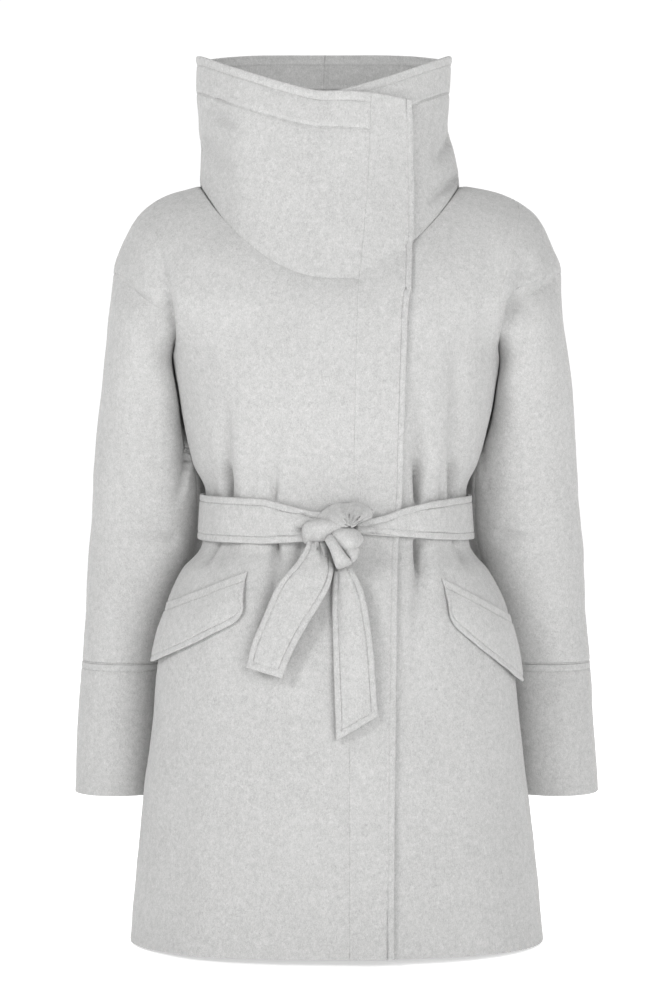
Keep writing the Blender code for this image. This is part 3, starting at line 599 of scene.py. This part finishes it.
def add_threads(name, runs, slot):
    """Short threads that lie along each path, half sunk in the cloth."""
    sections = [(0.0, 0.25), (0.18, 0.9), (0.5, 1.0), (0.82, 0.9), (1.0, 0.25)]
    corners = [(1, 0), (0.5, 0.87), (-0.5, 0.87), (-1, 0), (-0.5, -0.87), (0.5, -0.87)]
    points, faces = [], []
    for path, normals in runs:
        length = from_start(path[None], 1)[0]
        count = int((length[-1] - STITCH_PITCH) / STITCH_PITCH)
        for k in range(count):
            start = STITCH_PITCH * (k + 0.5)
            base = len(points)
            spots = [value_along(path, length, start + STITCH_LENGTH * share) for share, _ in sections]
            way = unit(spots[-1] - spots[0])
            up = unit(value_along(normals, length, start))
            side = np.cross(way, up)
            for (share, size), spot in zip(sections, spots):
                lift = STITCH_THICK * (0.55 * math.sin(math.pi * share) - 0.15)
                for across, rise in corners:
                    aside = side * (STITCH_THICK * 0.6 * size * across)
                    points.append(spot + aside + up * (lift + STITCH_THICK * 0.5 * size * rise))
            faces += tube_faces(base, len(sections), len(corners))
    return add_piece(name, [tuple(p) for p in points], faces, slot, "thread")


# ---- materials
def set_inputs(node, values):
    for key, value in values.items():
        node.inputs[key].default_value = value


def map_range(nodes, *numbers):
    node = nodes.new("ShaderNodeMapRange")
    set_inputs(node, dict(zip(("From Min", "From Max", "To Min", "To Max"), numbers)))
    return node


def wool(name, colour, nap=1.0):
    """Brushed melton in heather grey: light and dark fibres felted together, with a short uneven nap."""
    material = bpy.data.materials.new(name)
    material.use_nodes = True
    nodes, links = material.node_tree.nodes, material.node_tree.links
    shader = nodes["Principled BSDF"]
    set_inputs(shader, {"Roughness": 0.95, "Specular IOR Level": 0.15})
    set_inputs(shader, {"Sheen Weight": 0.12, "Sheen Roughness": 0.45})
    place = nodes.new("ShaderNodeTexCoord")

    def noise(scale, detail, roughness, distortion=0.0, turn=None):
        texture = nodes.new("ShaderNodeTexNoise")
        set_inputs(texture, {"Scale": scale, "Detail": detail})
        set_inputs(texture, {"Roughness": roughness, "Distortion": distortion})
        vector = place.outputs["Object"]
        if turn is not None:
            mapping = nodes.new("ShaderNodeMapping")
            set_inputs(mapping, {"Rotation": (0.0, turn, 0.0), "Scale": (1.0, 1.0, 0.55)})
            links.new(vector, mapping.inputs["Vector"])
            vector = mapping.outputs["Vector"]
        links.new(vector, texture.inputs["Vector"])
        return texture.outputs["Fac"]

    def spread(value, size):
        node = map_range(nodes, 0.3, 0.7, -size, size)
        links.new(value, node.inputs["Value"])
        return node.outputs["Result"]

    def maths(how, first, second):
        node = nodes.new("ShaderNodeMath")
        node.operation = how
        for socket, value in zip(node.inputs, (first, second)):
            if isinstance(value, (int, float)):
                socket.default_value = value
            else:
                links.new(value, socket)
        return node.outputs[0]

    fibres_a = noise(780, 3, 0.7, 1.2, turn=0.7)
    fibres_b = noise(780, 3, 0.7, 1.2, turn=-0.8)
    grain = noise(1250, 2, 0.6)
    patches = noise(170, 3, 0.6, 0.4)
    clouds = noise(16, 2, 0.5)
    total = spread(fibres_a, 0.075)
    for texture, size in ((fibres_b, 0.075), (grain, 0.06), (patches, 0.045), (clouds, 0.012)):
        total = maths("ADD", total, spread(texture, size))
    ramp = nodes.new("ShaderNodeValToRGB")
    for element, position, tone in zip(ramp.color_ramp.elements, (0.30, 0.70), (0.66, 1.34)):
        element.position = position
        element.color = (*(c * tone for c in colour), 1)
    links.new(maths("ADD", total, 0.5), ramp.inputs["Fac"])
    links.new(ramp.outputs["Color"], shader.inputs["Base Color"])
    height = maths("ADD", maths("MULTIPLY", fibres_a, 0.5), maths("MULTIPLY", fibres_b, 0.5))
    height = maths("ADD", height, maths("MULTIPLY", grain, 0.5))
    bump = nodes.new("ShaderNodeBump")
    set_inputs(bump, {"Strength": 0.35 * nap, "Distance": 0.0007})
    links.new(height, bump.inputs["Height"])
    links.new(bump.outputs["Normal"], shader.inputs["Normal"])
    return material


GREY = (0.425, 0.424, 0.420)
MATERIALS = {
    "wool": wool("wool_melton", GREY),
    "belt_wool": wool("belt_melton", tuple(c * 1.01 for c in GREY)),
    "thread": wool("thread_grey", tuple(c * 0.93 for c in GREY), 0.3),
}


# ---- the trunk's pieces
def armhole_deg(t):
    across = 2 * (np.asarray(t, float) - UNDERARM) / (TIP - UNDERARM) - 1
    return ARMHOLE_REACH * np.sqrt(np.maximum(0, 1 - across**2))


def side_edge(t):
    return 90.0 - armhole_deg(t)


def princess_edge(t):
    return np.minimum(ring_value("princess", t), 90.0)


def over_edge(t):
    return angle_of_x(ring_value("edge_x", t), t)


def band_edge(t):
    return angle_of_x(ring_value("band_x", t), t)


def under_edge(t):
    return angle_of_x(-ring_value("edge_x", t), t)


def spaced(fine, path, step, low=(), high=()):
    """Places between the fine ones, spaced by length along the path that those give."""
    length = from_start(path[None], 1)[0]
    return np.interp(lines(length[-1], step, low, high) * length[-1], length, fine)


def row_places(start, end, at_angle, step, low=(), high=()):
    """Ring positions between two rings, spaced by length along the cloth at one angle."""
    fine = np.linspace(start, end, 1200)
    return spaced(fine, ring_point(np.full(fine.shape, float(at_angle)), fine), step, low, high)


def trunk_cloth(name, rows, first, last, layer, edges, step=CELL, stitches=(), turned=0.0):
    """A cloth of the trunk, from ring positions and the angles of its first and last edge at each."""
    stitched = {side: [d for s, d in stitches if s == side] for side in SIDES}
    left, right = first(rows)[:, None], last(rows)[:, None]
    coarse, _ = trunk(left + (right - left) * np.linspace(0, 1, 60), rows[:, None], layer)
    widest = from_start(coarse, 1)[:, -1].max()
    shares = with_pleats(lines(widest, step, stitched["left"], stitched["right"]), first, last)
    points, out = trunk(left + (right - left) * shares, rows[:, None], layer)
    points = overlapped(points, edges)
    relief = crease_depth(points, TRUNK_CREASES) + cloth_relief(points, TRUNK_SEED)
    shell(name, points, edges, WALL, stitches, relief=relief, turned=turned, out=out)


def with_pleats(shares, first, last):
    """Adds closer columns to a trunk piece where the belt presses narrow pleats into it."""
    kept = list(shares)
    for side, spot, *_ in TRUNK_CREASES:
        x, z, _, depth = np.array(spot) / PER_METRE
        if depth < PLEAT_DEPTH or abs(z - BELT_MIDDLE) > BELT_REACH:
            continue
        t = ring_at_height(z)
        angle = angle_of_x(x, t) if side < 0 else 180 - angle_of_x(x, t)
        start, end = float(first(t)), float(last(t))
        place = (angle - start) / (end - start)
        pitch = PLEAT_CELL / (abs(math.radians(end - start)) * TRUNK_RADIUS)
        for k in range(-6, 7):
            share = place + pitch * k
            if 0.01 < share < 0.99 and np.abs(np.array(kept) - share).min() > pitch * 0.45:
                kept.append(share)
    return np.array(sorted(kept))


def overlapped(points, edges, closed=False):
    """Moves a grid's seamed borders outwards a little, so that two cloths meet in their seam."""
    points = points.copy()
    whole = slice(None)
    pairs = {"low": ((0, whole), (1, whole)), "high": ((-1, whole), (-2, whole))}
    if not closed:
        pairs.update(left=((whole, 0), (whole, 1)), right=((whole, -1), (whole, -2)))
    for side, (edge, beside) in pairs.items():
        if edges[side] in SEAMS:
            points[edge] += unit(points[edge] - points[beside]) * SEAM_OVERLAP
    return points


ROW_GAP = 0.02  # least distance between an added row and the others, in rings


def with_armhole(rows):
    """Adds closer rows where the armhole's edge turns, at its lowest and highest points."""
    turns = np.radians((0, 20, 32, 44, 136, 148, 160, 180))
    added = UNDERARM + (TIP - UNDERARM) * (1 - np.cos(turns)) / 2
    added = added[(added > rows[0] + ROW_GAP) & (added < rows[-1] - ROW_GAP)]
    clear = [t for t in rows if t in (rows[0], rows[-1]) or np.abs(added - t).min() > ROW_GAP]
    return np.sort(np.concatenate([clear, added]))


def make_trunk():
    full_rows = row_places(0.0, RIM, 10, CELL)
    body_rows = with_armhole(row_places(0.0, NECK, 30, CELL))
    side_rows = with_armhole(row_places(0.0, YOKE - 0.02, 70, CELL))
    back_rows = with_armhole(row_places(0.0, NECK, 150, CELL))
    seams = {"low": FREE, "high": SEAM, "left": SEAM, "right": SEAM}
    faint = {**seams, "left": FAINT, "right": FAINT}
    side_seams = {**seams, "high": FAINT}
    trunk_cloth("front_right_cloth", body_rows, lambda t: -princess_edge(t), band_edge, 1, faint)
    band_seams = {**faint, "high": FREE, "right": FREE}
    trunk_cloth("front_band_cloth", full_rows, band_edge, over_edge, 1, band_seams,
                stitches=[("right", EDGE_STITCH)], turned=EDGE_TURN)  # fmt: skip
    trunk_cloth("front_left_cloth", body_rows, under_edge, princess_edge, -1, {**faint, "left": FREE})
    trunk_cloth("side_right_cloth", side_rows, lambda t: -side_edge(t), lambda t: -princess_edge(t), 0,
                {**side_seams, "right": FAINT})  # fmt: skip
    trunk_cloth("side_left_cloth", side_rows, princess_edge, side_edge, 0, {**side_seams, "left": FAINT})
    trunk_cloth("back_cloth", back_rows, lambda t: 90 + armhole_deg(t), lambda t: 270 - armhole_deg(t), 0,
                seams)  # fmt: skip


def steady(angle):
    return lambda t: np.full(np.shape(t), float(angle))


def make_collar():
    for part, start, end, step, top, stitches in (
        ("collar", NECK, BAND_SEAM, COLLAR_CELL, SEAM, []),
        ("collar_band", BAND_SEAM, RIM, BAND_CELL, FREE, [("high", RIM_STITCH), ("low", SEAM_STITCH)]),
    ):
        rows = row_places(start, end, 0, step, high=[d for side, d in stitches if side == "high"])
        edges = {"low": SEAM, "high": top, "left": SEAM, "right": SEAM}
        trunk_cloth(part + "_right_cloth", rows, steady(-180), band_edge, 1, {**edges, "right": FAINT},
                    COLLAR_CELL, stitches, turned=COLLAR_TURN)  # fmt: skip
        trunk_cloth(part + "_left_cloth", rows, under_edge, steady(180), -1, {**edges, "left": FREE},
                    COLLAR_CELL, stitches, turned=COLLAR_TURN)  # fmt: skip


# ---- sleeves
def clear_of_trunk(points):
    x, y, z = points[..., 0], points[..., 1], points[..., 2]
    t = ring_at_height(np.minimum(z, ring_value("side_z", UNDERARM)))
    power = ring_value("squareness", t)
    depth = np.where(y > 0, ring_value("back_depth", t), ring_value("front_depth", t)) + SLEEVE_CLEAR
    share = np.minimum(1, np.abs(y) / depth)
    reach = (ring_value("half_width", t) + SLEEVE_CLEAR) * (1 - share**power) ** (1 / power)
    moved = np.where(z > ring_value("side_z", UNDERARM), x, np.maximum(x, reach))
    return np.stack([moved, y, z], axis=-1)


def armhole_points(angles, sign):
    """Points and ways out along the armhole's edge of the +X side, or of the -X side if sign is -1."""
    a = np.radians(angles)
    along = np.cos(a)
    t = UNDERARM + (TIP - UNDERARM) * (1 + along) / 2
    edge = np.where(np.sin(a) > 0, side_edge(t), 90 + armhole_deg(t))
    return trunk(edge * sign, t)


def sleeve_points(rings, places, angles, sign=0):
    """A grid of points of the +X sleeve: places are positions along its rings, angles go round it. A sign
    other than 0 puts that side's armhole before the rings."""
    a = np.radians(angles)
    grid = []
    for outer_x, outer_z, inner_x, inner_z, middle_y, half_depth in np.array(rings) / PER_METRE:
        middle = np.array([(outer_x + inner_x) / 2, middle_y, (outer_z + inner_z) / 2])
        half = np.array([(outer_x - inner_x) / 2, 0, (outer_z - inner_z) / 2])
        spots = middle + half * np.cos(a)[:, None]
        spots[:, 1] -= half_depth * np.sin(a)
        grid.append(clear_of_trunk(spots))
    if sign:
        grid.insert(0, armhole_points(angles, sign)[0] * np.array([sign, 1.0, 1.0]))
    return through_rows(grid, places)


def make_sleeves():
    measured = np.array([60.0])  # degrees round the sleeve where its length is taken
    for side, sign in (("right", -1), ("left", 1)):
        fine = np.linspace(0, len(SLEEVE_RINGS), 600)
        path = sleeve_points(SLEEVE_RINGS, fine, measured, sign)[:, 0]
        places = spaced(fine, path, CELL, high=(SEAM_STITCH,))
        edges = {**dict.fromkeys(SIDES, SEAM), "high": FAINT}
        for part, start, end, girth in (("top", *TOP_SLEEVE, 0.30), ("under", TOP_SLEEVE[1], 270.0, 0.15)):
            angles = start + (end - start) * lines(girth, CELL)
            points = sleeve_points(SLEEVE_RINGS, places, angles, sign)
            finish_sleeve(f"sleeve_{part}_{side}_cloth", points, sign, edges, [("high", SEAM_STITCH)], side,
                          start=places, angles=angles)  # fmt: skip
        fine = np.linspace(0, len(CUFF_RINGS) - 1, 300)
        path = sleeve_points(CUFF_RINGS, fine, measured)[:, 0]
        places = spaced(fine, path, CUFF_CELL, (CUFF_STITCH,))
        points = sleeve_points(CUFF_RINGS, places, np.arange(0, 360, 3.0))
        finish_sleeve(f"cuff_{side}_cloth", points, sign, {"low": FAINT, "high": FREE},
                      [("low", CUFF_STITCH)], side, closed=True)  # fmt: skip


def finish_sleeve(name, points, sign, edges, stitches, side, closed=False, start=None, angles=None):
    """Sleeve rows run down the arm and round it from its outer side over the front. One that starts at
    the armhole follows the trunk's folds and way out there."""
    points = overlapped(points, edges, closed) * np.array([sign, 1.0, 1.0])
    fade, near, away = 1.0, np.zeros(len(points)), 0.0
    if start is not None:
        seam, away = armhole_points(angles, sign)
        press = crease_depth(seam, TRUNK_CREASES) + cloth_relief(seam, TRUNK_SEED)
        fade = smooth_step(start, 0.0, 1.2)[:, None]
        near = 1 - smooth_step(start, 0.0, 0.15)
        points = points - away * (press * (1 - fade))[..., None]
    relief = (crease_depth(points, SLEEVE_CREASES[side]) + cloth_relief(points, SLEEVE_SEEDS[side])) * fade
    if sign < 0:
        points, relief, near = points[::-1], relief[::-1], near[::-1]
        edges = {**edges, "low": edges["high"], "high": edges["low"]}
        stitches = [({"low": "high", "high": "low"}[s], d) for s, d in stitches]
    near = near[:, None, None]
    out = unit(normals_of(points, closed) * (1 - near) + away * near)
    shell(name, points, edges, WALL, stitches, closed=closed, relief=relief, out=out)


# ---- pockets
FLAP_ROUND = 0.0110  # radius of a flap's lower inner corner
FLAP_SWING = 0.0040  # how far its lower outer corner hangs off the trunk
FLAP_PUFF = 0.0012
FLAP_WIDTH, FLAP_DEPTH = 0.088, 0.044
WELT_DEPTH = 0.0100


def make_pockets():
    for side, row in FLAPS.items():
        corner = dict(zip(FLAP_COLUMNS, row))
        layer = 1 if side == "right" else -1
        ends = ((), (FLAP_STITCH,)) if side == "right" else ((FLAP_STITCH,), ())
        across = lines(0.085, FINE_CELL, *ends)
        inner = (1 - across if side == "right" else across)[None, :]  # 0 at the inner edge
        down = 1 - lines(FLAP_DEPTH, FINE_CELL, (FLAP_STITCH,))[:, None]
        points = pocket_points(corner, inner, down, layer, FLAP_WALL, True)
        stitched = [("low", FLAP_STITCH), (side, FLAP_STITCH)]
        shell(f"pocket_flap_{side}_cloth", points, ALL_FREE, FLAP_WALL, stitched)
        rise = lines(WELT_DEPTH, 0.0016)[:, None] * WELT_DEPTH - 0.0006
        points = pocket_points(corner, inner, np.zeros_like(rise), layer, WALL, False, rise)
        shell(f"pocket_welt_{side}_cloth", points, ALL_FREE, WALL, held="stretched")


def sine_of(degrees):
    return math.sin(math.radians(degrees))


def pocket_points(corner, inner, down, layer, wall, hangs, rise=0.0):
    """Points of a flap or welt; its edges are straight as seen from the front."""
    bow = np.sin(math.pi / 2 * inner)

    def between(key, change=float):
        return change(corner["inner_" + key]) * (1 - bow) + change(corner["outer_" + key]) * bow

    top, low = between("top_deg", sine_of), between("low_deg", sine_of)
    top_z, low_z = between("top_z"), between("low_z")
    from_corner = np.clip(bow * FLAP_WIDTH / FLAP_ROUND, 0, 1)
    if hangs:
        low_z = low_z + FLAP_ROUND * (1 - np.sqrt(1 - (1 - from_corner) ** 2))
    angle = np.degrees(np.arcsin(np.clip(top * (1 - down) + low * down, -1, 1)))
    z = top_z * (1 - down) + low_z * down + rise
    stand_off = LAYER_GAP + wall + 0.0004
    if hangs:
        stand_off = stand_off + FLAP_SWING * bow * bow * down + FLAP_PUFF * np.sin(math.pi * down)
    points, out = trunk(angle, ring_at_height(z), layer, stand_off)
    return points - out * cloth_relief(points, TRUNK_SEED)[..., None]


# ---- belt
BELT_CREASES = (
    (-1, (-44, -353.5, 2.2, 0), (-34, -358.5, 2.2, 3), (-25, -362.5, 2.4, 3.4)),
    (-1, (-47, -374.5, 4, 0), (-40, -373.5, 3.4, 5.8), (-33, -374.5, 3.4, 6.6)),
    (-1, (-52, -366, 4, -0.6), (-34, -368, 3.4, -1.6)),
    (-1, (34, -370, 2.6, 2.4), (52, -366, 3, 1), (76, -361, 4, 0)),
    (-1, (30, -379, 1.6, 3.4), (40, -377, 1.6, 3), (50, -378.5, 1.8, 1.6), (62, -379, 2, 0)),
    (-1, (33, -365, 3, -1.2), (60, -359, 4, 0)),
    (-1, (-100, -364, 8, 0.8), (-70, -368, 6, 0)),
    (1, (-30, -356, 6, 1), (50, -360, 6, 0)),
)  # fmt: skip


def belt_stand_off(angle):
    turn = (angle + 180) % 360 - 180
    over = LIFT * smooth_step(turn, -64, -50) * (1 - smooth_step(turn, 44, 58))
    return over + 0.004 * (1 - smooth_step(np.abs(turn), 10, 30)) + BELT_GAP + BELT_WALL


def make_belt():
    table = np.array(BELT) / (1, PER_METRE, PER_METRE)
    shares = lines(1.0, BELT_CELL)
    angle = BELT[0][0] + (BELT[-1][0] - BELT[0][0]) * shares
    ends = np.interp(angle, table[:, 0], table[:, 1]), np.interp(angle, table[:, 0], table[:, 2])
    up = lines(BELT_WIDTH, 0.0026, (BELT_STITCH,), (BELT_STITCH,))[:, None]
    z = ends[1] * (1 - up) + ends[0] * up
    out = belt_stand_off(angle) + 0.0008 * np.sin(math.pi * up) ** 0.5
    points, _ = trunk(angle[None, :], ring_at_height(z), 0, out)
    relief = crease_depth(points, BELT_CREASES) + 0.0004 * ripple(points, 0.05, 91)
    stitched = [("low", BELT_STITCH), ("high", BELT_STITCH)]
    shell("belt_waist_cloth", points, ALL_FREE, BELT_WALL, stitched, relief=relief, slot="belt_wool",
          held="stretched")  # fmt: skip


def make_tails():
    for name, rows, length in (("short", TAIL_SHORT, 0.150), ("long", TAIL_LONG, 0.170)):
        down = lines(length, 0.0024, (), (BELT_STITCH,))
        table = through_rows(np.array(rows) / PER_METRE, down * (len(rows) - 1))
        across = lines(0.042, FINE_CELL, (FLAP_STITCH,), (FLAP_STITCH,))
        left_x, left_z, right_x, right_z, stand = (table[:, k][:, None] for k in range(5))
        x = left_x * (1 - across) + right_x * across
        z = left_z * (1 - across) + right_z * across
        t = ring_at_height(z)
        drop = down[:, None]
        if name == "long":
            fold = 1 - smooth_step(drop, 0.15, 0.75)
            ridge = 0.62 + 0.10 * drop
            slope = np.where(across < ridge, (across - ridge) / ridge * 0.012, -(across - ridge) * 0.006)
            lift = slope * fold + 0.0010 * np.sin(math.pi * across) - 0.0022 * bell(across, 0.20, 0.07) * fold
        else:
            fold = 1 - smooth_step(drop, 0.05, 0.70)
            roll = -0.010 * np.clip((across - 0.70) / 0.30, 0, 1) ** 2
            lift = roll * fold + 0.0012 * np.sin(math.pi * across)
            lift = lift - 0.0050 * bell(across, 0.66 + 0.1 * drop, 0.055) * smooth_step(drop, 0.32, 0.06)
            lift = lift - 0.0030 * bell(across, 0.3, 0.12) * smooth_step(drop, 0.25, 0.0)
        out = LAYER_GAP + BELT_WALL + stand + lift
        points, _ = trunk(angle_of_x(x, t), t, 1, out)
        points = np.stack([x, points[..., 1], z], axis=-1)[::-1]
        relief = 0.0006 * ripple(points, 0.05, 95)
        stitched = [("left", FLAP_STITCH), ("right", FLAP_STITCH), ("low", BELT_STITCH)]
        shell(f"belt_tail_{name}_cloth", points, ALL_FREE, BELT_WALL, stitched, relief=relief,
              slot="belt_wool")  # fmt: skip


# The knot's folds, in millimetres. Each row is a station along a fold: x and z of its two edges, the y of
# the edges and how far the middle stands proud of them.
KNOT_FOLDS = {
    "left": ((-35.5, -381.5, -32.0, -391.5, -124, 3), (-35.5, -373.0, -26.0, -386.5, -127, 8),
             (-30.5, -366.5, -18.5, -387.0, -129, 11), (-19.5, -363.5, -10.0, -385.5, -131, 13),
             (-8.0, -363.5, -3.5, -381.0, -134, 12), (4.0, -367.0, 4.0, -376.5, -137, 9),
             (13.0, -370.5, 11.0, -374.0, -139, 5)),
    "lower": ((2.5, -387.0, 7.0, -399.0, -139, 7), (10.5, -388.0, 12.5, -403.5, -139, 11),
              (17.5, -389.0, 17.0, -408.5, -138, 13), (22.5, -391.0, 21.5, -405.0, -136, 11),
              (25.0, -396.0, 24.5, -399.5, -134, 5)),
    "upper": ((-5.0, -378.0, -3.5, -381.0, -144, 5), (1.5, -373.5, 3.0, -391.0, -143, 11),
              (9.5, -372.0, 10.5, -397.0, -141, 15), (17.5, -372.5, 18.0, -395.5, -139, 16),
              (24.0, -376.0, 23.0, -392.5, -136, 13), (29.0, -382.5, 28.0, -387.5, -133, 6)),
    "band": ((-12.5, -383.5, -4.5, -377.5, -144, 5), (-10.0, -388.5, 0.0, -383.5, -148, 8),
             (-6.5, -395.0, 5.5, -392.0, -150, 9), (-3.5, -403.5, 10.5, -399.5, -149, 10),
             (-1.0, -411.0, 15.5, -405.5, -145, 10), (1.5, -416.5, 17.5, -410.0, -138, 6)),
}  # fmt: skip
FOLD_STEPS, FOLD_AROUND = 48, 48
FOLD_BACK = 0.006  # how far a fold goes back from its edges

# The gathered cloth above the knot. Reach in millimetres at an angle from upright; pleats as ridges
# (positive) and valleys at an angle, with their half width in degrees and depth in millimetres.
FAN_CENTRE = (0.0140, -0.3715)
FAN_FRONT, FAN_FALL = -0.1500, 0.0272  # y at the knot, and how far the pleats fall back from there
FAN_REACH = ((-96, 31), (-78, 35), (-62, 35), (-45, 31), (-30, 28), (-12, 26), (8, 26), (26, 28),
             (44, 30), (60, 29), (70, 25))  # fmt: skip
FAN_PLEATS = ((-62, 12, 1.2), (-42, 7, -1.3), (-28, 9, 1.1), (-13, 5, -1.3), (-2, 6, 1.2), (9, 5, -2.2),
              (21, 7, 1.5), (33, 5, -0.9), (43, 6, 1.2), (56, 5, -2.4))  # fmt: skip


def knot_fold(rows, seed):
    """Points of a closed fold of cloth between two edges, as rings along it."""
    table = through_rows(rows, np.linspace(0, len(rows) - 1, FOLD_STEPS)) / PER_METRE
    turn = np.linspace(0, 2 * math.pi, FOLD_AROUND, endpoint=False)
    across = (1 - np.cos(turn)) / 2
    bulge = np.abs(np.sin(turn)) ** 0.75
    front = turn < math.pi
    end = np.linspace(0, 1, FOLD_STEPS)
    swell = np.sqrt(1 - (1 - np.clip(np.minimum(end, 1 - end) / 0.10, 0, 1)) ** 2)[:, None]
    left_x, left_z, right_x, right_z, edge_y, crown = (table[:, k][:, None] for k in range(6))
    narrow = 0.5 + (across - 0.5) * (0.25 + 0.75 * swell)
    x = left_x + (right_x - left_x) * narrow
    z = left_z + (right_z - left_z) * narrow
    y = edge_y - np.where(front, crown, -FOLD_BACK) * bulge * (0.15 + 0.85 * swell)
    points = np.stack([x, y, z], axis=-1)
    unevenness = 0.0006 * ripple(points * np.array([1.0, 0.3, 1.0]), 0.014, seed)
    points[..., 1] += unevenness * np.where(front, bulge, 0)
    return points


def fan_points():
    """Pleats that spread from the knot like a fan and lie down on the front."""
    phi = np.linspace(FAN_REACH[0][0], FAN_REACH[-1][0], 150)
    reach = np.interp(phi, *zip(*FAN_REACH)) / PER_METRE
    reach = np.convolve(np.pad(reach, 8, mode="edge"), np.ones(17) / 17, mode="valid")
    pleat = sum(depth / PER_METRE * bell(phi, at, half) for at, half, depth in FAN_PLEATS)
    share = lines(0.032, 0.0010)[:, None]
    radius = 0.002 + (reach * (1 + 0.02 * np.sin(phi / 7.0)) - 0.002) * share
    x = FAN_CENTRE[0] + radius * np.sin(np.radians(phi))
    z = FAN_CENTRE[1] + radius * np.cos(np.radians(phi))
    y = FAN_FRONT + FAN_FALL * share**1.5 - pleat * 1.7 * share**0.8 * (1 - share) ** 0.4
    points = np.stack([x, y, z], axis=-1)
    points[..., 1] += 0.0004 * ripple(points, 0.012, 77)
    return points


def make_knot():
    """The knot's folds in one piece, and the gathered cloth above them."""
    points, faces = [], []
    for seed, rows in enumerate(KNOT_FOLDS.values()):
        faces += tube_faces(len(points), FOLD_STEPS, FOLD_AROUND, turned=True)
        points += knot_fold(rows, 60 + seed).reshape(-1, 3).tolist()
    knot = add_piece("belt_knot_cloth", points, faces, "belt_wool")
    cloth = sum(face.area for face in knot.data.polygons) / 2
    CUTS["belt_knot_cloth"] = (BELT_WIDTH, cloth / BELT_WIDTH, cloth, "gathered")
    shell("belt_knot_fan_cloth", fan_points(), ALL_FREE, FAN_WALL, slot="belt_wool", held="gathered")


# ---- camera, light and floor
CAMERA_PLACE, CAMERA_LENS = (0, -2.4, -0.3476), 77.92
WORLD_LIGHT = 0.30, 1.05  # the studio's wall light in front of the coat and behind it
FLOOR_GLOW, FLOOR_REACH = 0.50, 9
SOFTBOXES = (  # name, watts, side and place
    ("key", 32, 0.8, (-1.7, -2.0, 0.8)),
    ("fill", 50, 1.6, (1.3, -2.8, 0.3)),
    ("rear_right", 20, 1.0, (-2.0, 2.4, 0.9)),
    ("rear_left", 12, 1.0, (2.2, 2.4, 0.5)),
)
LIT_POINT = (0, 0, -0.35)  # where the lights aim


def white_board(name, corners, glow):
    """A flat white sheet of the studio, which glows a little so that it stays white."""
    board = add_object(name, corners, [(0, 1, 2, 3)])
    material = bpy.data.materials.new(name + "_white")
    material.use_nodes = True
    shader = material.node_tree.nodes["Principled BSDF"]
    set_inputs(shader, {"Base Color": (0.9, 0.9, 0.9, 1), "Roughness": 0.9})
    set_inputs(shader, {"Emission Color": (1, 1, 1, 1), "Emission Strength": glow})
    board.data.materials.append(material)


def make_stage():
    camera = bpy.data.objects.new("camera", bpy.data.cameras.new("camera"))
    camera.location = CAMERA_PLACE
    camera.rotation_euler = (math.radians(90), 0, 0)
    camera.data.lens = CAMERA_LENS
    camera.data.clip_end = 200
    bpy.context.scene.collection.objects.link(camera)
    bpy.context.scene.camera = camera

    world = bpy.data.worlds.new("studio")
    world.use_nodes = True
    nodes, links = world.node_tree.nodes, world.node_tree.links
    way = nodes.new("ShaderNodeTexCoord")
    split = nodes.new("ShaderNodeSeparateXYZ")
    grade = map_range(nodes, -0.35, 0.45, *WORLD_LIGHT)
    links.new(way.outputs["Generated"], split.inputs[0])
    links.new(split.outputs["Y"], grade.inputs["Value"])
    links.new(grade.outputs["Result"], nodes["Background"].inputs["Strength"])
    set_inputs(nodes["Background"], {"Color": (1, 1, 1, 1)})
    bpy.context.scene.world = world
    bpy.context.scene.view_settings.view_transform = "Standard"

    for name, energy, side, place in SOFTBOXES:
        light = bpy.data.objects.new(name, bpy.data.lights.new(name, "AREA"))
        light.data.shape = "SQUARE"
        light.data.size = side
        light.data.energy = energy
        light.location = place
        light.rotation_euler = (Vector(LIT_POINT) - Vector(place)).to_track_quat("-Z", "Y").to_euler()
        bpy.context.scene.collection.objects.link(light)

    floor_z = cad_box[0][2] - 0.001
    corners = [(x * FLOOR_REACH, y * FLOOR_REACH, floor_z) for x, y in ((-1, -1), (1, -1), (1, 1), (-1, 1))]
    white_board("floor", corners, FLOOR_GLOW)


# ---- build
make_stage()
make_trunk()
make_collar()
make_sleeves()
make_pockets()
make_belt()
make_tails()
make_knot()
for name in CUTS:
    node = name.removesuffix("_cloth").removesuffix("_fan")
    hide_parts(node)
for thing, runs, slot in THREADS:
    add_threads(thing.name.replace("_cloth", "_stitches"), runs, slot)
for name, (width, length, area, held) in CUTS.items():
    width = min(width, area / length / 0.35)
    length = max(length, 0.0105)
